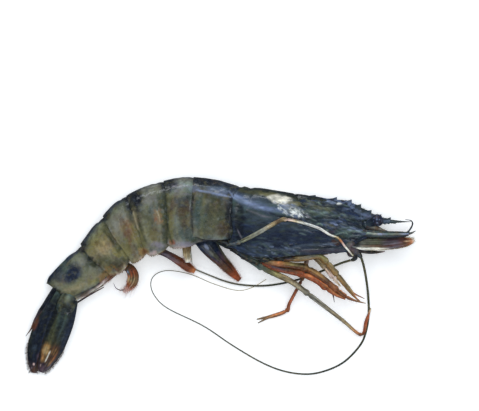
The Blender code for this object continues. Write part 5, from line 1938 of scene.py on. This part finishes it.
        telson = Leaf(
            "telson", self.telson_route, tuple(np.cross(run, UP)),
            ((0, NAVY), (0.55, INK), (0.72, PLUM), (0.85, RUST), (1, BROWN)),
            (Mark(0.5, 0.5, 0.4, 0.3, INK, 0.6),), thickness=2.4, arch=0.1,
            ribs=((-0.35, 0.35, 0.14), (0.35, 0.35, 0.14)), fringe=0.9, fringe_pigment=RUST,
            fringe_start=0.5,
        )
        return [*uropods, telson]

    def threads(self, shop: Workshop) -> None:
        """Make the thin branch of the second pleopod and the curl and tuft of the fourth."""
        spike = ((-22.6, -19.0, 12.4, 0.5), (-21.7, -23.0, 12.0, 0.36), (-21.3, -26.4, 11.6, 0.1))
        Limb("pleopod_2_branch", spike, ((0, BROWN), (0.4, STONE), (1, STONE))).build(shop)
        curl = (
            (-50.6, -37.4, 9, 0.3), (-53.2, -38.2, 8.6, 0.28), (-55.6, -37.2, 8.4, 0.22),
            (-56.8, -34.8, 8.4, 0.1),
        )
        Limb("pleopod_4_curl", curl, ((0, BROWN), (1, LILAC))).build(shop)
        rng = np.random.default_rng(self.tuft_seed)
        count = self.tuft_count
        roots = np.array((-50.4, -36.4, 9.6)) + rng.normal(0, 1, (count, 3)) * (1.6, 0.6, 0.4)
        ways = np.array((-0.35, -1.0, -0.2)) + rng.normal(0, 0.16, (count, 3))
        skin = Skin()
        skin.hairs(roots, ways, rng.uniform(2.5, 6.0, count), 0.08, ROSE.linear)
        shop.piece("pleopod_4_tuft", skin, HAIR)

    def build(self, shop: Workshop) -> None:
        """Make every leaf, the threads of the pleopods and the bases of the uropods."""
        self.threads(shop)
        for leaf in (*self.scales(), *self.pleopods(), *self.fan()):
            leaf.build(shop)
        colours = ((0, PINE), (0.2, TEAL), (0.45, SAGE), (0.7, TEAL), (1, INK))
        for side in Side:
            root = lowered(self.fan_root, side, self.base_drop)
            base = Limb(f"uropod_base_{side.label}", root, colours, oval=0.5, under=INK)
            base.build(shop, finish=SHELL)


@dataclass
class Whips:
    """The two long ringed whips of the antennae."""

    ring_length: float = 0.7
    swell_right: tuple[float, float, float] = (0.6, 0.16, 1.6)
    swell_left: tuple[float, float, float] = (0.55, 0.34, 1.0)
    right: Rows = (
        (54.9, -23.9, 12.4), (56, -27.6, 9.6), (57.2, -33.6, 5.4), (58.1, -40.5, 1.6), (58.4, -48, 0.55),
        (57.4, -56, 0.5), (54.6, -63, 0.5), (47.2, -70.7, 0.5), (38.2, -74.9, 0.5), (29.5, -76.2, 0.5),
        (19.2, -74.6, 0.5), (9, -70.4, 0.45), (-3.5, -63, 0.45), (-16.4, -54.4, 0.45),
        (-32.2, -46.6, 0.4), (-38.2, -41, 0.4), (-40.1, -35.4, 0.4), (-38, -31.2, 0.35),
        (-32, -29.4, 0.35), (-21.9, -31.2, 0.35), (-11.7, -35.4, 0.35), (-1.5, -38.3, 0.35),
        (5.4, -37.2, 0.35), (12, -33.4, 0.35),
    )
    left: Rows = (
        (50, -24.7, 7), (46.4, -25.8, 5.8), (41.6, -27.7, 5.4), (36, -30, 5.8), (30.2, -32.2, 4.9),
        (24.8, -33.9, 2.6), (17, -35.6, 1.5), (9.2, -36.3, 1.6), (0, -35.7, 1.7), (-6.8, -34.1, 1.8),
        (-12.6, -31.9, 1.8), (-18.2, -29.6, 1.6), (-24.8, -26.8, 1.4),
    )

    def build(self, shop: Workshop) -> None:
        """Make both whips."""
        whips = (("right", self.right, self.swell_right), ("left", self.left, self.swell_left))
        for name, route, (root, tip, taper) in whips:
            line = smooth_route(route, self.ring_length / 3)
            left = (1 - np.linspace(0, 1, len(line))) ** taper
            radii = (tip + (root - tip) * left) * np.where(np.arange(len(line)) % 3 == 0, 0.9, 1.0)
            line[:, 2] = np.maximum(line[:, 2], radii)
            colours = ((0, OLIVE), (0.4, PINE), (0.7, OLIVE), (0.9, STONE), (1, SAND))
            paint = ramp(colours, 1 - left)[:, None]
            shop.closed(f"whip_{name}", tube(line, radii, 8), paint, WHIP, f"antenna_whip_{name}")


# Studio


@dataclass(frozen=True)
class Softbox:
    """A rectangular lamp that points at the prawn."""

    name: str
    azimuth: float
    elevation: float
    distance: float
    size: tuple[float, float]
    power: float
    mirrored: bool = True
    colour: tuple[float, float, float] = (0.9, 0.95, 1.0)


@dataclass
class Studio:
    """A white floor, soft lamps from the sides, and a camera straight above."""

    camera_height: float = 2.4
    focus_height: float = 10.0
    frame_width: float = 215.6
    sensor: float = 36.0
    floor_size: float = 6.0
    floor_gap: float = 0.05
    floor_grey: float = 0.86
    floor_glow: float = 0.35
    sky: tuple[float, ...] = (0.8, 0.9, 1.0, 1)
    sky_strength: float = 0.12
    lamps: tuple[Softbox, ...] = (
        Softbox("overhead", 90, 80, 1.5, (1.6, 1.6), 24.0, mirrored=False),
        Softbox("back", 98, 12, 1.0, (0.9, 0.12), 1.5), Softbox("front", -80, 34, 1.1, (0.8, 0.2), 1.6),
        Softbox("head_side", 30, 52, 1.2, (0.4, 0.3), 1.0),
    )

    def build(self) -> None:
        """Set up floor, lamps, world and camera."""
        scene = bpy.context.scene
        scene.view_settings.view_transform = "Standard"
        floor = bpy.data.meshes.new("floor")
        form = bmesh.new()
        bmesh.ops.create_grid(form, x_segments=4, y_segments=4, size=self.floor_size / 2)
        bmesh.ops.translate(form, verts=form.verts, vec=(0, 0, -self.floor_gap * MM))
        form.to_mesh(floor)
        form.free()
        graph = Graph("pale_floor")
        inputs = {
            "Base Color": (*[self.floor_grey] * 3, 1), "Roughness": 0.9, "Emission Color": (1, 1, 1, 1),
            "Emission Strength": self.floor_glow,
        }
        paper = graph.node("ShaderNodeBsdfPrincipled", {}, inputs)
        graph.tree.links.new(paper.socket, graph.output.inputs["Surface"])
        floor.materials.append(graph.material)
        ground = bpy.data.objects.new("floor", floor)
        scene.collection.objects.link(ground)
        ground.visible_glossy = False
        for lamp in self.lamps:
            light = bpy.data.lights.new(lamp.name, "AREA")
            light.shape = "RECTANGLE"
            light.size, light.size_y = lamp.size
            light.energy = lamp.power
            light.color = lamp.colour
            made = bpy.data.objects.new(lamp.name, light)
            turn, rise = math.radians(lamp.azimuth), math.radians(lamp.elevation)
            flat = math.cos(rise)
            way = np.array((math.cos(turn) * flat, math.sin(turn) * flat, math.sin(rise)))
            made.location = way * lamp.distance
            made.rotation_euler = (math.pi / 2 - rise, 0.0, turn + math.pi / 2)
            made.visible_glossy = lamp.mirrored
            scene.collection.objects.link(made)
        world = bpy.data.worlds.new("studio")
        world.use_nodes = True
        background = world.node_tree.nodes["Background"].inputs
        background["Color"].default_value = self.sky
        background["Strength"].default_value = self.sky_strength
        scene.world = world
        camera = bpy.data.cameras.new("camera")
        camera.sensor_width = self.sensor
        depth = self.camera_height - self.focus_height * MM
        camera.lens = self.sensor * depth / (self.frame_width * MM)
        eye = bpy.data.objects.new("camera", camera)
        eye.location = (*(-BOX_MIDDLE[:2] * MM), self.camera_height)
        scene.collection.objects.link(eye)
        scene.camera = eye


def main() -> None:
    """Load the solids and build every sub-assembly over them."""
    logging.basicConfig(level=logging.INFO, format="%(name)s: %(message)s")
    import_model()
    shop = Workshop()
    trunk = Trunk()
    Studio().build()
    Flesh(trunk).build(shop)
    Abdomen(trunk).build(shop)
    BellyRim().build(shop)
    carapace = Carapace(trunk).build(shop)
    Rostrum().build(shop)
    Eyes().build(shop)
    Legs(carapace).build(shop)
    Feelers().build(shop)
    Leaves().build(shop)
    Whips().build(shop)
    bpy.context.view_layer.update()


if __name__ == "__main__":
    main()
